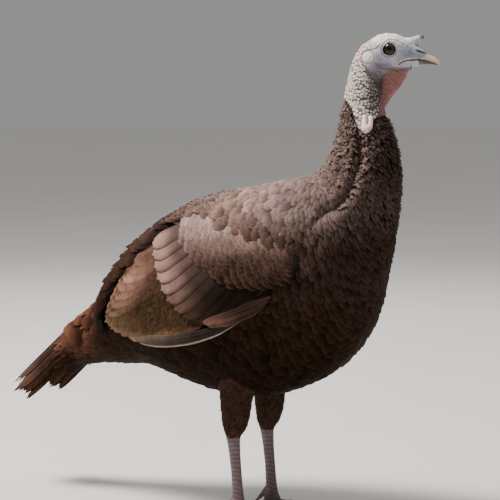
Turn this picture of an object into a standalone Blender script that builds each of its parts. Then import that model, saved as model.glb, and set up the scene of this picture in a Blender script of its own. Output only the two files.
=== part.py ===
"""A domestic turkey hen, life size, standing with the head up and turned a little to her left.

Metres, +Z up, +X the way she faces, +Y her left. The origin is on the floor, at the
middle of her bounding box. Tail coverts, trunk, neck and head are one loft of upright
sections that fan round from the tail to the forehead, parted by thin gaps. The wings,
thighs and tail are set against it.
"""

import math

import bmesh
import bpy
from mathutils import Matrix, Vector

# Driving dimensions
gap = 0.0004  # between pieces that touch
bodySegments = 24  # points round a section of the trunk
headSegments = 22  # points round a section of the neck and head
stance = 0.045  # from the midline to the middle of a foot
ankleHeight = 0.123  # where the feathered leg meets the bare shank
neckAxisX = 0.186  # the upright axis that the head turns about
headYaw = 22.0  # degrees to her left
eyeCentre = (0.0325, 0.0138, 0.6729)  # forward of the neck axis, out to the side, height
eyeSize = (0.0095, 0.0066, 0.0095)
featherThickness = 0.0045  # of the folded tail's wall
tailStart = Vector((-0.345, 0, 0.2475))  # the tail's ridge, at the coverts
tailEnd = Vector((-0.4555, 0, 0.1535))  # and at its tip
tailFold = math.radians(80)  # how steeply the folded tail's sides hang
tailHalfWidth = 0.036
tailDepth = 0.052
tailFeathers = 7  # feathers on each side of the ridge
tailNotch = 0.012  # how deep the gaps between their tips are

# Sections from the tail to the neck: top x, top z, bottom x, bottom z, half width,
# height of the widest point as a share of the way down, corner power, yaw.
covertSections = [
    (-0.345, 0.2475, -0.312, 0.197, 0.036, 0.55, 2.0, 0),
    (-0.314, 0.269, -0.288, 0.200, 0.043, 0.52, 2.0, 0),
    (-0.282, 0.291, -0.262, 0.204, 0.051, 0.50, 2.0, 0),
]
trunkSections = [
    (-0.282, 0.291, -0.262, 0.204, 0.051, 0.50, 2.0, 0),
    (-0.246, 0.326, -0.222, 0.205, 0.069, 0.50, 2.0, 0),
    (-0.205, 0.376, -0.172, 0.208, 0.089, 0.49, 2.05, 0),
    (-0.148, 0.425, -0.118, 0.194, 0.105, 0.48, 2.15, 0),
    (-0.070, 0.460, -0.055, 0.179, 0.114, 0.47, 2.2, 0),
    (0.005, 0.479, 0.022, 0.176, 0.116, 0.47, 2.2, 0),
    (0.055, 0.489, 0.088, 0.195, 0.113, 0.46, 2.2, 0),
    (0.088, 0.495, 0.146, 0.229, 0.105, 0.47, 2.15, 0),
    (0.107, 0.501, 0.183, 0.278, 0.095, 0.48, 2.1, 0),
    (0.123, 0.512, 0.202, 0.335, 0.082, 0.50, 2.05, 0),
]
neckBaseSections = [
    (0.123, 0.512, 0.202, 0.335, 0.082, 0.50, 2.05, 0),
    (0.135, 0.527, 0.216, 0.390, 0.069, 0.51, 2.0, 0),
    (0.143, 0.545, 0.225, 0.440, 0.057, 0.52, 2.0, 0),
    (0.148, 0.563, 0.231, 0.485, 0.048, 0.53, 2.0, 0),
]
neckSections = [
    (0.148, 0.563, 0.231, 0.485, 0.048, 0.53, 2.0, 0),
    (0.151, 0.578, 0.230, 0.520, 0.042, 0.53, 2.0, 3),
    (0.153, 0.592, 0.223, 0.552, 0.036, 0.52, 2.0, 8),
    (0.155, 0.605, 0.213, 0.579, 0.030, 0.50, 2.0, 14),
    (0.157, 0.618, 0.209, 0.599, 0.0255, 0.48, 2.0, 19),
]
headSections = [
    (0.157, 0.618, 0.209, 0.599, 0.0255, 0.48, 2.0, 19),
    (0.160, 0.633, 0.206, 0.6155, 0.0228, 0.45, 2.0, headYaw),
    (0.163, 0.647, 0.205, 0.6255, 0.0214, 0.44, 2.0, headYaw),
    (0.1692, 0.6650, 0.2065, 0.6324, 0.0207, 0.44, 2.0, headYaw),
    (0.1783, 0.6790, 0.2093, 0.6366, 0.0204, 0.46, 2.0, headYaw),
    (0.1898, 0.6865, 0.2135, 0.6387, 0.0200, 0.48, 2.1, headYaw),
    (0.2010, 0.6932, 0.2176, 0.6407, 0.0190, 0.48, 2.15, headYaw),
    (0.2131, 0.6958, 0.2246, 0.6428, 0.0178, 0.48, 2.2, headYaw),
    (0.2257, 0.6943, 0.2315, 0.6441, 0.0160, 0.48, 2.2, headYaw),
    (0.2354, 0.6905, 0.2385, 0.6462, 0.0138, 0.50, 2.2, headYaw),
    (0.2451, 0.6843, 0.2460, 0.6483, 0.0114, 0.52, 2.2, headYaw),
    (0.2485, 0.6822, 0.2485, 0.6490, 0.0106, 0.52, 2.2, headYaw),
]
# Bill sections: x, top z, bottom z, half width
upperBill = [
    (0.2485, 0.6822, 0.6592, 0.0104),
    (0.2563, 0.6784, 0.6594, 0.0092),
    (0.2640, 0.6738, 0.6588, 0.0078),
    (0.2715, 0.6668, 0.6566, 0.0060),
    (0.2795, 0.6628, 0.6545, 0.0042),
    (0.2855, 0.6582, 0.6525, 0.0026),
    (0.2880, 0.6540, 0.6512, 0.0012),
]
lowerBill = [
    (0.2485, 0.6586, 0.6490, 0.0094),
    (0.2565, 0.6588, 0.6508, 0.0081),
    (0.2661, 0.6585, 0.6521, 0.0067),
    (0.2744, 0.6571, 0.6522, 0.0050),
    (0.2800, 0.6545, 0.6517, 0.0031),
    (0.2827, 0.6529, 0.6510, 0.0014),
]

# Throat wattle, a flap under the jaw: height, back x, front x, half thickness
wattleSections = [
    (0.6440, 0.203, 0.2440, 0.0050),
    (0.6340, 0.203, 0.2400, 0.0046),
    (0.6230, 0.203, 0.2330, 0.0042),
    (0.6120, 0.203, 0.2240, 0.0040),
    (0.6010, 0.203, 0.2165, 0.0038),
    (0.5930, 0.203, 0.2110, 0.0034),
]

# Snood: forward, sideways and up from base to tip, and its radii along that line
snoodStart = (0.2455, 0, 0.6800)
snoodEnd = (0.2640, 0, 0.6914)
snoodRadii = ((0, 0.0052), (0.35, 0.0045), (0.65, 0.0036), (0.9, 0.0033), (1, 0.0018))

# The folded wing seen from the side, as x and z round its outline from the wrist
wingOutline = [
    (0.138, 0.415), (0.122, 0.366), (0.100, 0.328), (0.070, 0.303), (0.030, 0.284),
    (-0.020, 0.269), (-0.086, 0.257), (-0.150, 0.252), (-0.200, 0.254), (-0.232, 0.268),
    (-0.243, 0.296), (-0.228, 0.336), (-0.180, 0.386), (-0.110, 0.425), (-0.030, 0.448),
    (0.050, 0.460), (0.104, 0.460), (0.132, 0.444),
]
wingUpperEdge = 0.0025  # its thickness there
wingLowerEdge = 0.0145
wingHeights = (0.255, 0.455)  # of its lower and upper edges

# The outer flight feathers along the lower edge: x, y, z, half height, half thickness
primaries = [
    (0.078, 0.1170, 0.312, 0.0050, 0.0035),
    (0.050, 0.1225, 0.298, 0.0095, 0.0052),
    (0.000, 0.1260, 0.280, 0.0125, 0.0055),
    (-0.060, 0.1240, 0.264, 0.0120, 0.0050),
    (-0.110, 0.1165, 0.256, 0.0090, 0.0040),
    (-0.147, 0.1090, 0.254, 0.0035, 0.0020),
]

# Legs as level sections: x, z, fore-aft radius, sideways radius
thighSections = [
    (-0.0075, ankleHeight, 0.0125, 0.0105),
    (-0.0055, 0.130, 0.0170, 0.0150),
    (-0.0040, 0.143, 0.0206, 0.0182),
    (-0.0035, 0.158, 0.0226, 0.0205),
    (-0.0030, 0.176, 0.0238, 0.0228),
    (-0.0005, 0.196, 0.0290, 0.0260),
    (0.0030, 0.225, 0.0400, 0.0340),
    (0.0050, 0.255, 0.0420, 0.0360),
]
shankSections = [
    (0.0030, 0.0000, 0.0105, 0.0100),
    (0.0030, 0.0050, 0.0138, 0.0128),
    (0.0020, 0.0130, 0.0132, 0.0118),
    (0.0005, 0.0230, 0.0100, 0.0088),
    (-0.0005, 0.0400, 0.0084, 0.0072),
    (-0.0025, 0.0650, 0.0080, 0.0066),
    (-0.0055, 0.0930, 0.0088, 0.0068),
    (-0.0075, 0.1120, 0.0104, 0.0080),
    (-0.0080, ankleHeight - gap, 0.0112, 0.0090),
]
# Front toes: name, degrees outwards from straight ahead, length, base radius, joints
toes = [
    ("middle", 4, 0.0760, 0.0076, 3),
    ("inner", -34, 0.0530, 0.0068, 2),
    ("outer", 38, 0.0590, 0.0066, 4),
]
clawLength = 0.015
hindToe = (0.0345, 0.0290, 0.0054)  # height it leaves the shank at, length, base radius
hindToeSlope = 1.12  # how much it drops for its reach back


def clearScene():
    for old in list(bpy.data.objects):
        bpy.data.objects.remove(old)


def makeMaterial(name, colour, roughness, metallic=0.0):
    material = bpy.data.materials.new(name)
    material.use_nodes = True
    shader = material.node_tree.nodes["Principled BSDF"]
    shader.inputs["Base Color"].default_value = (*colour, 1.0)
    shader.inputs["Roughness"].default_value = roughness
    shader.inputs["Metallic"].default_value = metallic
    return material


def addObject(name, bm, material):
    """Turns bm into a smooth-shaded object under the turkey's empty."""
    bmesh.ops.recalc_face_normals(bm, faces=bm.faces)
    mesh = bpy.data.meshes.new(name)
    bm.to_mesh(mesh)
    bm.free()
    mesh.materials.append(material)
    mesh.shade_smooth()
    mesh.set_sharp_from_angle(angle=math.radians(50))
    made = bpy.data.objects.new(name, mesh)
    bpy.context.scene.collection.objects.link(made)
    made.parent = bpy.data.objects["turkey"]
    return made


def smoothRows(rows, steps):
    """Rows read off a Catmull-Rom curve through the given ones, steps to each span."""
    last = len(rows) - 1
    ends = [
        [2 * a - b for a, b in zip(rows[0], rows[1])],
        [2 * a - b for a, b in zip(rows[last], rows[last - 1])],
    ]
    run = [ends[0], *rows, ends[1]]
    made = []
    for i in range(last):
        p0, p1, p2, p3 = run[i : i + 4]
        for k in range(steps):
            t = k / steps
            made.append([
                0.5 * (2 * b + (c - a) * t + (2 * a - 5 * b + 4 * c - d) * t * t
                       + (3 * b - a - 3 * c + d) * t * t * t)
                for a, b, c, d in zip(p0, p1, p2, p3)
            ])
    made.append(list(rows[last]))
    return made


def signedPower(value, power):
    return math.copysign(abs(value) ** power, value)


def turned(x, y, z, yaw):
    """A point of the midline frame, turned about the neck's axis."""
    a = math.radians(yaw)
    reach = x - neckAxisX
    return Vector((
        neckAxisX + reach * math.cos(a) - y * math.sin(a),
        reach * math.sin(a) + y * math.cos(a),
        z,
    ))


def bodyRing(row, segments):
    """One upright section, from its top down the right side, under and up the left."""
    topX, topZ, lowX, lowZ, halfWidth, level, power, yaw = row
    top, low = Vector((topX, 0, topZ)), Vector((lowX, 0, lowZ))
    middle = top.lerp(low, level)
    ring = []
    for k in range(segments):
        angle = 2 * math.pi * k / segments
        rise = signedPower(math.cos(angle), 2 / power)
        side = -halfWidth * signedPower(math.sin(angle), 2 / power)
        at = middle.lerp(top if rise > 0 else low, abs(rise))
        ring.append(turned(at.x, side, at.z, yaw))
    return ring


def lofted(rings):
    """A closed mesh through the rings, capped flat at both ends."""
    bm = bmesh.new()
    placed = [[bm.verts.new(point) for point in ring] for ring in rings]
    count = len(rings[0])
    for first, second in zip(placed, placed[1:]):
        for k in range(count):
            n = (k + 1) % count
            bm.faces.new((first[k], first[n], second[n], second[k]))
    bmesh.ops.triangulate(bm, faces=bm.faces)  # so a grown copy keeps the same creases
    bm.faces.new(placed[0])
    bm.faces.new(reversed(placed[-1]))
    bmesh.ops.recalc_face_normals(bm, faces=bm.faces)
    return bm


def pulledIn(rings, startGap, endGap):
    """The rings with the end ones moved inwards, to leave a gap to the neighbours."""
    made = [[point.copy() for point in ring] for ring in rings]
    for end, beside, amount in ((0, 1, startGap), (-1, -2, endGap)):
        centre = sum(made[end], Vector()) / len(made[end])
        inner = sum(made[beside], Vector()) / len(made[beside])
        shift = (inner - centre).normalized() * amount
        made[end] = [point + shift for point in made[end]]
    return made


def bodyPiece(name, sections, steps, segments, material, startGap=gap / 2, endGap=gap / 2):
    rings = [bodyRing(row, segments) for row in smoothRows(sections, steps)]
    return addObject(name, lofted(pulledIn(rings, startGap, endGap)), material)


def grown(source, name, amount):
    """A helper copy of a piece, with its surface moved out by amount."""
    bm = bmesh.new()
    bm.from_mesh(source.data)
    bm.normal_update()
    moves = [(vert, vert.normal.copy()) for vert in bm.verts]
    for vert, normal in moves:
        vert.co += normal * amount
    made = addObject(name, bm, source.data.materials[0])
    asHelper(made)
    return made


def asHelper(made):
    made.hide_render = True
    made.display_type = "WIRE"


def boolean(target, other, operation):
    modifier = target.modifiers.new(operation.title() + other.name, "BOOLEAN")
    modifier.operation = operation
    modifier.object = other
    modifier.solver = "EXACT"


def wingThickness(point):
    """Thin along the upper edge, full along the lower one, thinning to front and rear."""
    low, high = wingHeights
    down = min(1.0, max(0.0, (high - point.z) / (high - low)))
    front = min(1.0, max(0.0, (0.160 - point.x) / 0.060))
    rear = min(1.0, max(0.0, (0.270 + point.x) / 0.150))
    swell = math.sin(0.5 * math.pi * down) * front * (0.25 + 0.75 * rear)
    return wingUpperEdge + (wingLowerEdge - wingUpperEdge) * swell


def wing(name, side, trunk, trunkGrown, blade, material):
    """The trunk's surface moved out by the wing's thickness, inside the wing's outline."""
    rings = [bodyRing(row, bodySegments) for row in smoothRows(
        [*covertSections[:-1], *trunkSections, neckBaseSections[1]], 2)]
    bm = lofted(rings)
    bm.normal_update()
    moves = [(vert, vert.normal * wingThickness(vert.co)) for vert in bm.verts]
    for vert, move in moves:
        vert.co += move
    made = addObject(name, bm, material)
    closedOutline = [*wingOutline, wingOutline[0]]
    outline = smoothRows(closedOutline, 2)[:-1]
    reach = sorted((0.018 * side, 0.20 * side))
    prism = addObject(name + "_outline", lofted([
        [Vector((x, y, z)) for x, z in outline] for y in reach
    ]), material)
    asHelper(prism)
    boolean(made, prism, "INTERSECT")
    boolean(made, trunkGrown, "DIFFERENCE")
    boolean(made, blade, "DIFFERENCE")
    return made


def primaryBlade(name, side, inset, trunkGrown, material):
    """The long outer flight feathers, as one blade on the wing's lower edge."""
    rings = []
    for x, y, z, halfHeight, halfThick in smoothRows(primaries, 2):
        rings.append([
            Vector((
                x,
                side * (y + (halfThick + inset) * math.cos(2 * math.pi * k / 10)),
                z + (halfHeight + inset) * math.sin(2 * math.pi * k / 10),
            ))
            for k in range(10)
        ])
    made = addObject(name, lofted(rings), material)
    if inset:
        asHelper(made)
    else:
        boolean(made, trunkGrown, "DIFFERENCE")
    return made


def tailPoint(along, spread, inner):
    """A point of the roof-shaped tail: along 0..1, spread -1..1 over the ridge."""
    ridge = tailEnd - tailStart
    topX, topZ, lowX, lowZ = covertSections[0][:4]
    covertDown = Vector((lowX - topX, 0, lowZ - topZ)).normalized()
    squareDown = Vector((-ridge.z, 0, ridge.x)).normalized()
    down = covertDown.lerp(squareDown, along)
    steep = spread * tailFold
    fall = tailDepth * (1 - math.cos(steep)) / (1 - math.cos(tailFold)) + inner
    width = tailHalfWidth + 0.004 * along - inner
    length = 1 - 0.26 * along * max(0, abs(spread) - 0.25)
    quill = 0.5 - 0.5 * math.cos(spread * tailFeathers * 2 * math.pi)
    notch = tailNotch * quill * max(0, along - 0.6) / 0.4
    return (tailStart + ridge * along * length - ridge.normalized() * notch
            + Vector((0, width * math.sin(steep), 0)) + down * fall)


def tailFan(name, material):
    """The folded tail, a thin roof of overlapping feathers with a notched end."""
    rings = []
    steps = tailFeathers * 4
    for along in (0, 0.33, 0.66, 0.9, 1):
        spreads = [-1 + 2 * k / steps for k in range(steps + 1)]
        outer = [tailPoint(along, s, 0) for s in spreads]
        inner = [tailPoint(along, s, featherThickness) for s in reversed(spreads)]
        rings.append(outer + inner)
    return addObject(name, lofted(pulledIn(rings, gap, 0)), material)


def cutBack(made, cutters):
    for cutter in cutters:
        boolean(made, cutter, "DIFFERENCE")
    return made


def ringAt(centre, sideways, over, wide, tall, segments):
    """An ellipse about centre, wide along sideways and tall along over."""
    turns = [2 * math.pi * k / segments for k in range(segments)]
    return [centre + sideways * wide * math.cos(t) + over * tall * math.sin(t) for t in turns]


def bill(name, sections, fullest, material):
    """Half a bill, widest the given share of the way up."""
    rings = []
    for x, top, low, halfWidth in smoothRows(sections, 2):
        ring = []
        for k in range(10):
            angle = 2 * math.pi * k / 10
            lift = signedPower(math.cos(angle), 0.9)
            middle = low + (top - low) * fullest
            z = middle + lift * ((top - middle) if lift > 0 else (middle - low))
            ring.append(turned(x, halfWidth * signedPower(math.sin(angle), 0.8), z, headYaw))
        rings.append(ring)
    return addObject(name, lofted(pulledIn(rings, gap, 0)), material)


def wattle(name, material, cutters):
    rings = []
    for z, back, front, halfThick in smoothRows(wattleSections, 1):
        middle, reach = (back + front) / 2, (front - back) / 2
        rings.append([
            turned(
                middle + reach * signedPower(math.cos(2 * math.pi * k / 14), 0.8),
                halfThick * math.sin(2 * math.pi * k / 14), z, headYaw)
            for k in range(14)
        ])
    return cutBack(addObject(name, lofted(rings), material), cutters)


def bead(name, centre, radii, material, cutters=(), yaw=0.0, segments=12, rings=8):
    """An ellipsoid, cut back by its neighbours."""
    bm = bmesh.new()
    bmesh.ops.create_uvsphere(bm, u_segments=segments, v_segments=rings, radius=1)
    bmesh.ops.scale(bm, vec=radii, verts=bm.verts)
    bmesh.ops.rotate(bm, matrix=Matrix.Rotation(math.radians(yaw), 3, "Z"), verts=bm.verts)
    bmesh.ops.translate(bm, vec=centre, verts=bm.verts)
    return cutBack(addObject(name, bm, material), cutters)


def snood(name, material, cutters):
    """The small fleshy finger on the forehead."""
    start, end = turned(*snoodStart, headYaw), turned(*snoodEnd, headYaw)
    along = (end - start).normalized()
    sideways = Vector((-along.y, along.x, 0)).normalized()
    over = along.cross(sideways)
    rings = [
        ringAt(start.lerp(end, share), sideways, over, radius, radius, 10)
        for share, radius in snoodRadii
    ]
    return cutBack(addObject(name, lofted(rings), material), cutters)


def leg(side, label, trunkGrown, feathers, scales, horn):
    """Thigh, shank, four toes and their claws of one leg."""
    xAxis, yAxis, up = Vector((1, 0, 0)), Vector((0, 1, 0)), Vector((0, 0, 1))
    y = stance * side
    thigh = addObject("thigh_" + label, lofted([
        ringAt(Vector((x, y, z)), xAxis, yAxis, rx, ry, 16) for x, z, rx, ry in thighSections
    ]), feathers)
    boolean(thigh, trunkGrown, "DIFFERENCE")
    shank = addObject("shank_" + label, lofted([
        ringAt(Vector((x, y, z)), xAxis, yAxis, rx, ry, 14) for x, z, rx, ry in shankSections
    ]), scales)
    shankGrown = grown(shank, "shank_cut_" + label, gap)

    middleToe = []
    for name, outwards, length, radius, joints in toes:
        a = math.radians(outwards * side)
        forward = Vector((math.cos(a), math.sin(a), 0))
        sideways = Vector((-math.sin(a), math.cos(a), 0))
        start = Vector((shankSections[0][0], y, 0)) + forward * 0.006
        made = toe("toe_" + name + "_" + label, start, forward, sideways, length - 0.006,
                   radius, joints, scales)
        cutBack(made, [shankGrown, *middleToe])
        if name == "middle":
            middleToe.append(grown(made, "toe_cut_" + label, gap))
        thick = radius * 0.44
        claw("claw_" + name + "_" + label, start + forward * (length - 0.006 + gap)
             + up * thick * 1.6, forward, sideways, up, thick, horn)

    height, length, radius = hindToe
    a = math.radians(180 + 12 * side)
    forward = Vector((math.cos(a), math.sin(a), -hindToeSlope)).normalized()
    sideways = Vector((-math.sin(a), math.cos(a), 0))
    over = forward.cross(sideways)
    over = -over if over.z < 0 else over
    start = Vector((0, y, height))
    rings = [
        ringAt(start + forward * length * share, sideways, over, thick, thick, 8)
        for share, thick in ((0, radius), (0.4, radius * 0.95), (0.7, radius * 0.7), (1, radius * 0.55))
    ]
    cutBack(addObject("toe_hind_" + label, lofted(rings), scales), (shankGrown,))
    claw("claw_hind_" + label, start + forward * (length + gap), forward, sideways, over,
         radius * 0.48, horn)


def toe(name, start, forward, sideways, length, radius, joints, material):
    """A toe with swollen joints, its underside flat on the floor."""
    rings = []
    steps = joints * 3
    for i in range(steps + 1):
        share = i / steps
        swell = 1 - 0.13 * math.cos(share * joints * 2 * math.pi)
        thick = radius * (1 - 0.42 * share) * swell
        ring = ringAt(start + forward * length * share, sideways, Vector((0, 0, 1)),
                      thick, thick * 1.15, 8)
        for point in ring:
            point.z = max(0.0, point.z + thick * 0.79)
        rings.append(ring)
    return addObject(name, lofted(rings), material)


def claw(name, start, forward, sideways, over, radius, material):
    """A blunt claw, arched a little. The hind one's tip rests on the floor."""
    rings = []
    for i in range(5):
        share = i / 4
        rise = 0.0012 * math.sin(math.pi * share) - radius * share ** 2
        thick = radius * (1 - 0.78 * share)
        ring = ringAt(start + forward * clawLength * share + over * rise,
                      sideways, over, thick, thick, 8)
        for point in ring:
            point.z = max(0.0, point.z)
        rings.append(ring)
    return addObject(name, lofted(rings), material)


def standOnOrigin():
    """Moves the turkey so that the floor point under the middle of her box is the origin."""
    bpy.context.view_layer.update()
    graph = bpy.context.evaluated_depsgraph_get()
    corners = []
    for made in bpy.context.scene.objects:
        if made.type == "MESH" and not made.hide_render:
            evaluated = made.evaluated_get(graph)
            corners += [evaluated.matrix_world @ vert.co for vert in evaluated.data.vertices]
    low = Vector([min(c[i] for c in corners) for i in range(3)])
    high = Vector([max(c[i] for c in corners) for i in range(3)])
    middle = (low + high) / 2
    bpy.data.objects["turkey"].location = (-middle.x, -middle.y, -low.z)


def main():
    clearScene()
    turkey = bpy.data.objects.new("turkey", None)
    bpy.context.scene.collection.objects.link(turkey)

    feathers = makeMaterial("brown_feathers", (0.105, 0.058, 0.042), 0.6)
    tailBrown = makeMaterial("tail_feathers", (0.12, 0.06, 0.042), 0.6)
    wingFeathers = makeMaterial("wing_feathers", (0.13, 0.075, 0.05), 0.6)
    skin = makeMaterial("bare_skin", (0.55, 0.47, 0.50), 0.5)
    redSkin = makeMaterial("red_skin", (0.50, 0.16, 0.16), 0.5)
    horn = makeMaterial("horn", (0.62, 0.50, 0.40), 0.35)
    scales = makeMaterial("leg_scales", (0.22, 0.15, 0.17), 0.45)
    eyeDark = makeMaterial("eye", (0.015, 0.010, 0.008), 0.08)

    bodyPiece("tail_coverts", covertSections, 2, bodySegments, tailBrown, startGap=0)
    trunk = bodyPiece("trunk", trunkSections, 2, bodySegments, feathers)
    neckBase = bodyPiece("neck_base", neckBaseSections, 2, headSegments, feathers)
    neck = bodyPiece("neck", neckSections, 2, headSegments, feathers)
    head = bodyPiece("head", headSections, 1, headSegments, skin, endGap=0)
    trunkGrown = grown(trunk, "trunk_cut", gap)
    neckGrown = grown(neck, "neck_cut", gap)
    neckBaseGrown = grown(neckBase, "neck_base_cut", gap)
    headGrown = grown(head, "head_cut", gap)

    tailFan("tail", tailBrown)
    for side, label in ((-1, "right"), (1, "left")):
        primaryBlade("primaries_" + label, side, 0, trunkGrown, wingFeathers)
        bladeCut = primaryBlade("primaries_cut_" + label, side, gap, trunkGrown, wingFeathers)
        wing("wing_" + label, side, trunk, trunkGrown, bladeCut, wingFeathers)
        boolean(bpy.data.objects["wing_" + label], neckBaseGrown, "DIFFERENCE")
        leg(side, label, trunkGrown, feathers, scales, horn)

        forward, out, height = eyeCentre
        eyeAt = turned(neckAxisX + forward, out * side, height, headYaw)
        bead("eye_" + label, eyeAt, eyeSize, eyeDark, yaw=headYaw, segments=14, rings=8)
        socket = bead("eye_socket_" + label, eyeAt, [size + gap for size in eyeSize], eyeDark,
                      yaw=headYaw, segments=14, rings=8)
        asHelper(socket)
        boolean(head, socket, "DIFFERENCE")
        lobeAt = turned(0.2015, 0.0325 * side, 0.5655, 6)
        bead("caruncle_" + label, lobeAt, (0.0085, 0.0070, 0.0125), skin, (neckGrown,))

    upper = bill("bill_upper", upperBill, 0.22, horn)
    lower = bill("bill_lower", lowerBill, 0.70, horn)
    upperGrown, lowerGrown = grown(upper, "upper_cut", gap), grown(lower, "lower_cut", gap)
    boolean(lower, upperGrown, "DIFFERENCE")
    wattle("wattle", redSkin, (headGrown, neckGrown, lowerGrown))
    snood("snood", skin, (headGrown, upperGrown))
    standOnOrigin()


main()
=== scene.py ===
import math

import bmesh
import bpy
import numpy as np
from mathutils import Matrix, Vector
from mathutils.bvhtree import BVHTree
from mathutils.kdtree import KDTree


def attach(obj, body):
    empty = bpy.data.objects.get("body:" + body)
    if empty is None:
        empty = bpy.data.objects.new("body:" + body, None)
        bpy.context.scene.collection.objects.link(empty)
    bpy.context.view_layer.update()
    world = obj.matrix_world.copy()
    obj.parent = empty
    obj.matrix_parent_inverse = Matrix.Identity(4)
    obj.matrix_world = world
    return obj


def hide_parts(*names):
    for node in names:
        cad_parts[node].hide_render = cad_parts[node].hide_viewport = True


# A domestic turkey hen, life size, standing. Metres; she faces +X and her left side is +Y.
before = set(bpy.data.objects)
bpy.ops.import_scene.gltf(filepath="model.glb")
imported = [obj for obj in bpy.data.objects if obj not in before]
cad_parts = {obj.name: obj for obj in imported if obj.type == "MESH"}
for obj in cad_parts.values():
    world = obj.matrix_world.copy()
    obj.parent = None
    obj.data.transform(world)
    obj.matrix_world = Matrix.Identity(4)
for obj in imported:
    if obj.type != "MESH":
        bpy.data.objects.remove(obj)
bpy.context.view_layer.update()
dice = np.random.default_rng(7)
sides = {-1: "right", 1: "left"}  # by the sign of y

dyes = {  # feather and skin colours, linear
    "cocoa": (0.060, 0.031, 0.023),
    "umber": (0.020, 0.0085, 0.0040),
    "soot": (0.0070, 0.0028, 0.0010),
    "taupe": (0.250, 0.155, 0.130),
    "tan": (0.200, 0.105, 0.050),
    "rufous": (0.128, 0.053, 0.034),
    "plum": (0.170, 0.100, 0.086),
    "slate": (0.076, 0.054, 0.044),
    "buff": (0.480, 0.370, 0.280),
    "paleBlue": (0.520, 0.500, 0.570),
    "lavender": (0.310, 0.270, 0.370),
    "cream": (0.680, 0.615, 0.560),
    "flesh": (0.400, 0.270, 0.240),
    "dusk": (0.200, 0.155, 0.150),
    "rose": (0.560, 0.270, 0.260),
    "coral": (0.480, 0.155, 0.135),
    "ink": (0.030, 0.024, 0.026),
    "greyBlue": (0.190, 0.220, 0.280),
}


# A colour is three numbers or the name of a dye.
def colourOf(colour):
    return np.asarray(dyes[colour] if isinstance(colour, str) else colour)


# 0 before start, 1 after end, smooth between.
def ramp(value, start, end):
    t = np.clip((value - start) / (end - start), 0, 1)
    return t * t * (3 - 2 * t)


# One colour laid over another by a share.
def mixed(under, over, share):
    under, over = colourOf(under), colourOf(over)
    return under + (over - under) * np.asarray(share)[..., None]


# 1 where value equals at, falling to 0 on both sides.
def ridge(value, at, width):
    return np.exp(-((value - at) / width) ** 2)


# 1 at a place, fading to 0 past its reach along each of two ways.
def blot(a, z, place, reach, power=4):
    return np.exp(-(((a - place[0]) / reach[0]) ** power + ((z - place[1]) / reach[1]) ** power))


# A smooth wandering pattern from -1 to 1, its lumps about size across.
def ripple(points, size, seed=0.0):
    total = 0
    for k, turn in enumerate((0.0, 1.1, 2.3, 3.7)):
        way = np.array([math.cos(turn + seed), math.sin(2 * turn + seed), math.sin(turn - seed)])
        total = total + np.sin(points @ way * (math.tau / size) * (1 + 0.23 * k) + seed * 7 + k)
    return total / 4


# Shared makers of meshes and surfaces

def newObject(name, data):
    made = bpy.data.objects.new(name, data)
    bpy.context.scene.collection.objects.link(made)
    return made


def meshOf(bm, name):
    mesh = bpy.data.meshes.new(name)
    bm.to_mesh(mesh)
    bm.free()
    return mesh


def newPiece(name, mesh, material, slot, *replaced):
    made = newObject(name, mesh)
    mesh.materials.clear()
    mesh.materials.append(material)
    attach(made, "root")
    if replaced:
        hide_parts(*replaced)


# One bmesh of the named CAD solids, their loose triangles merged.
def mergedCopy(*names):
    bm = bmesh.new()
    for name in names:
        bm.from_mesh(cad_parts[name].data)
    bmesh.ops.remove_doubles(bm, verts=bm.verts, dist=0.00001)
    return bm


# Cuts away what lies beyond a plane and closes the cut.
def cutBeyond(bm, at, way):
    geometry = bm.verts[:] + bm.edges[:] + bm.faces[:]
    bmesh.ops.bisect_plane(bm, geom=geometry, plane_co=at, plane_no=way, clear_outer=True)
    bmesh.ops.holes_fill(bm, edges=[edge for edge in bm.edges if edge.is_boundary])


# The bodies in bm remeshed into one skin, freed of creases.
def fused(bm, voxel, smoothing):
    helper = newObject("helper", meshOf(bm, "rough"))
    remesh = helper.modifiers.new("fuse", "REMESH")
    remesh.mode = "VOXEL"
    remesh.voxel_size = voxel
    relax = helper.modifiers.new("relax", "SMOOTH")
    relax.factor = 0.5
    relax.iterations = smoothing
    graph = bpy.context.evaluated_depsgraph_get()
    mesh = bpy.data.meshes.new_from_object(helper.evaluated_get(graph))
    bpy.data.objects.remove(helper)
    return mesh


def vertsOf(mesh):
    points = np.zeros(len(mesh.vertices) * 3, np.float32)
    normals = np.zeros(len(mesh.vertices) * 3, np.float32)
    mesh.vertices.foreach_get("co", points)
    mesh.vertex_normals.foreach_get("vector", normals)
    return points.reshape(-1, 3).astype(float), normals.reshape(-1, 3).astype(float)


def moveVerts(mesh, points):
    mesh.vertices.foreach_set("co", points.astype(np.float32).ravel())
    mesh.update()


def paint(mesh, colours):
    rgba = np.ones((len(colours), 4), np.float32)
    rgba[:, :3] = colours
    mesh.color_attributes.new("dye", "FLOAT_COLOR", "POINT").data.foreach_set("color", rgba.ravel())


# Rows read off a smooth curve through the given ones, steps to each span.
def throughRows(rows, steps):
    rows = np.array(rows, float)
    run = np.vstack([2 * rows[0] - rows[1], rows, 2 * rows[-1] - rows[-2]])
    made = []
    for p0, p1, p2, p3 in zip(run, run[1:], run[2:], run[3:]):
        for k in range(steps):
            t = k / steps
            made.append(0.5 * (2 * p1 + (p2 - p0) * t + (2 * p0 - 5 * p1 + 4 * p2 - p3) * t ** 2
                               + (p3 - p0 + 3 * (p1 - p2)) * t ** 3))
    return np.array([*made, rows[-1]])


def pointTree(points):
    tree = KDTree(len(points))
    for k, point in enumerate(points):
        tree.insert(point, k)
    tree.balance()
    return tree


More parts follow.
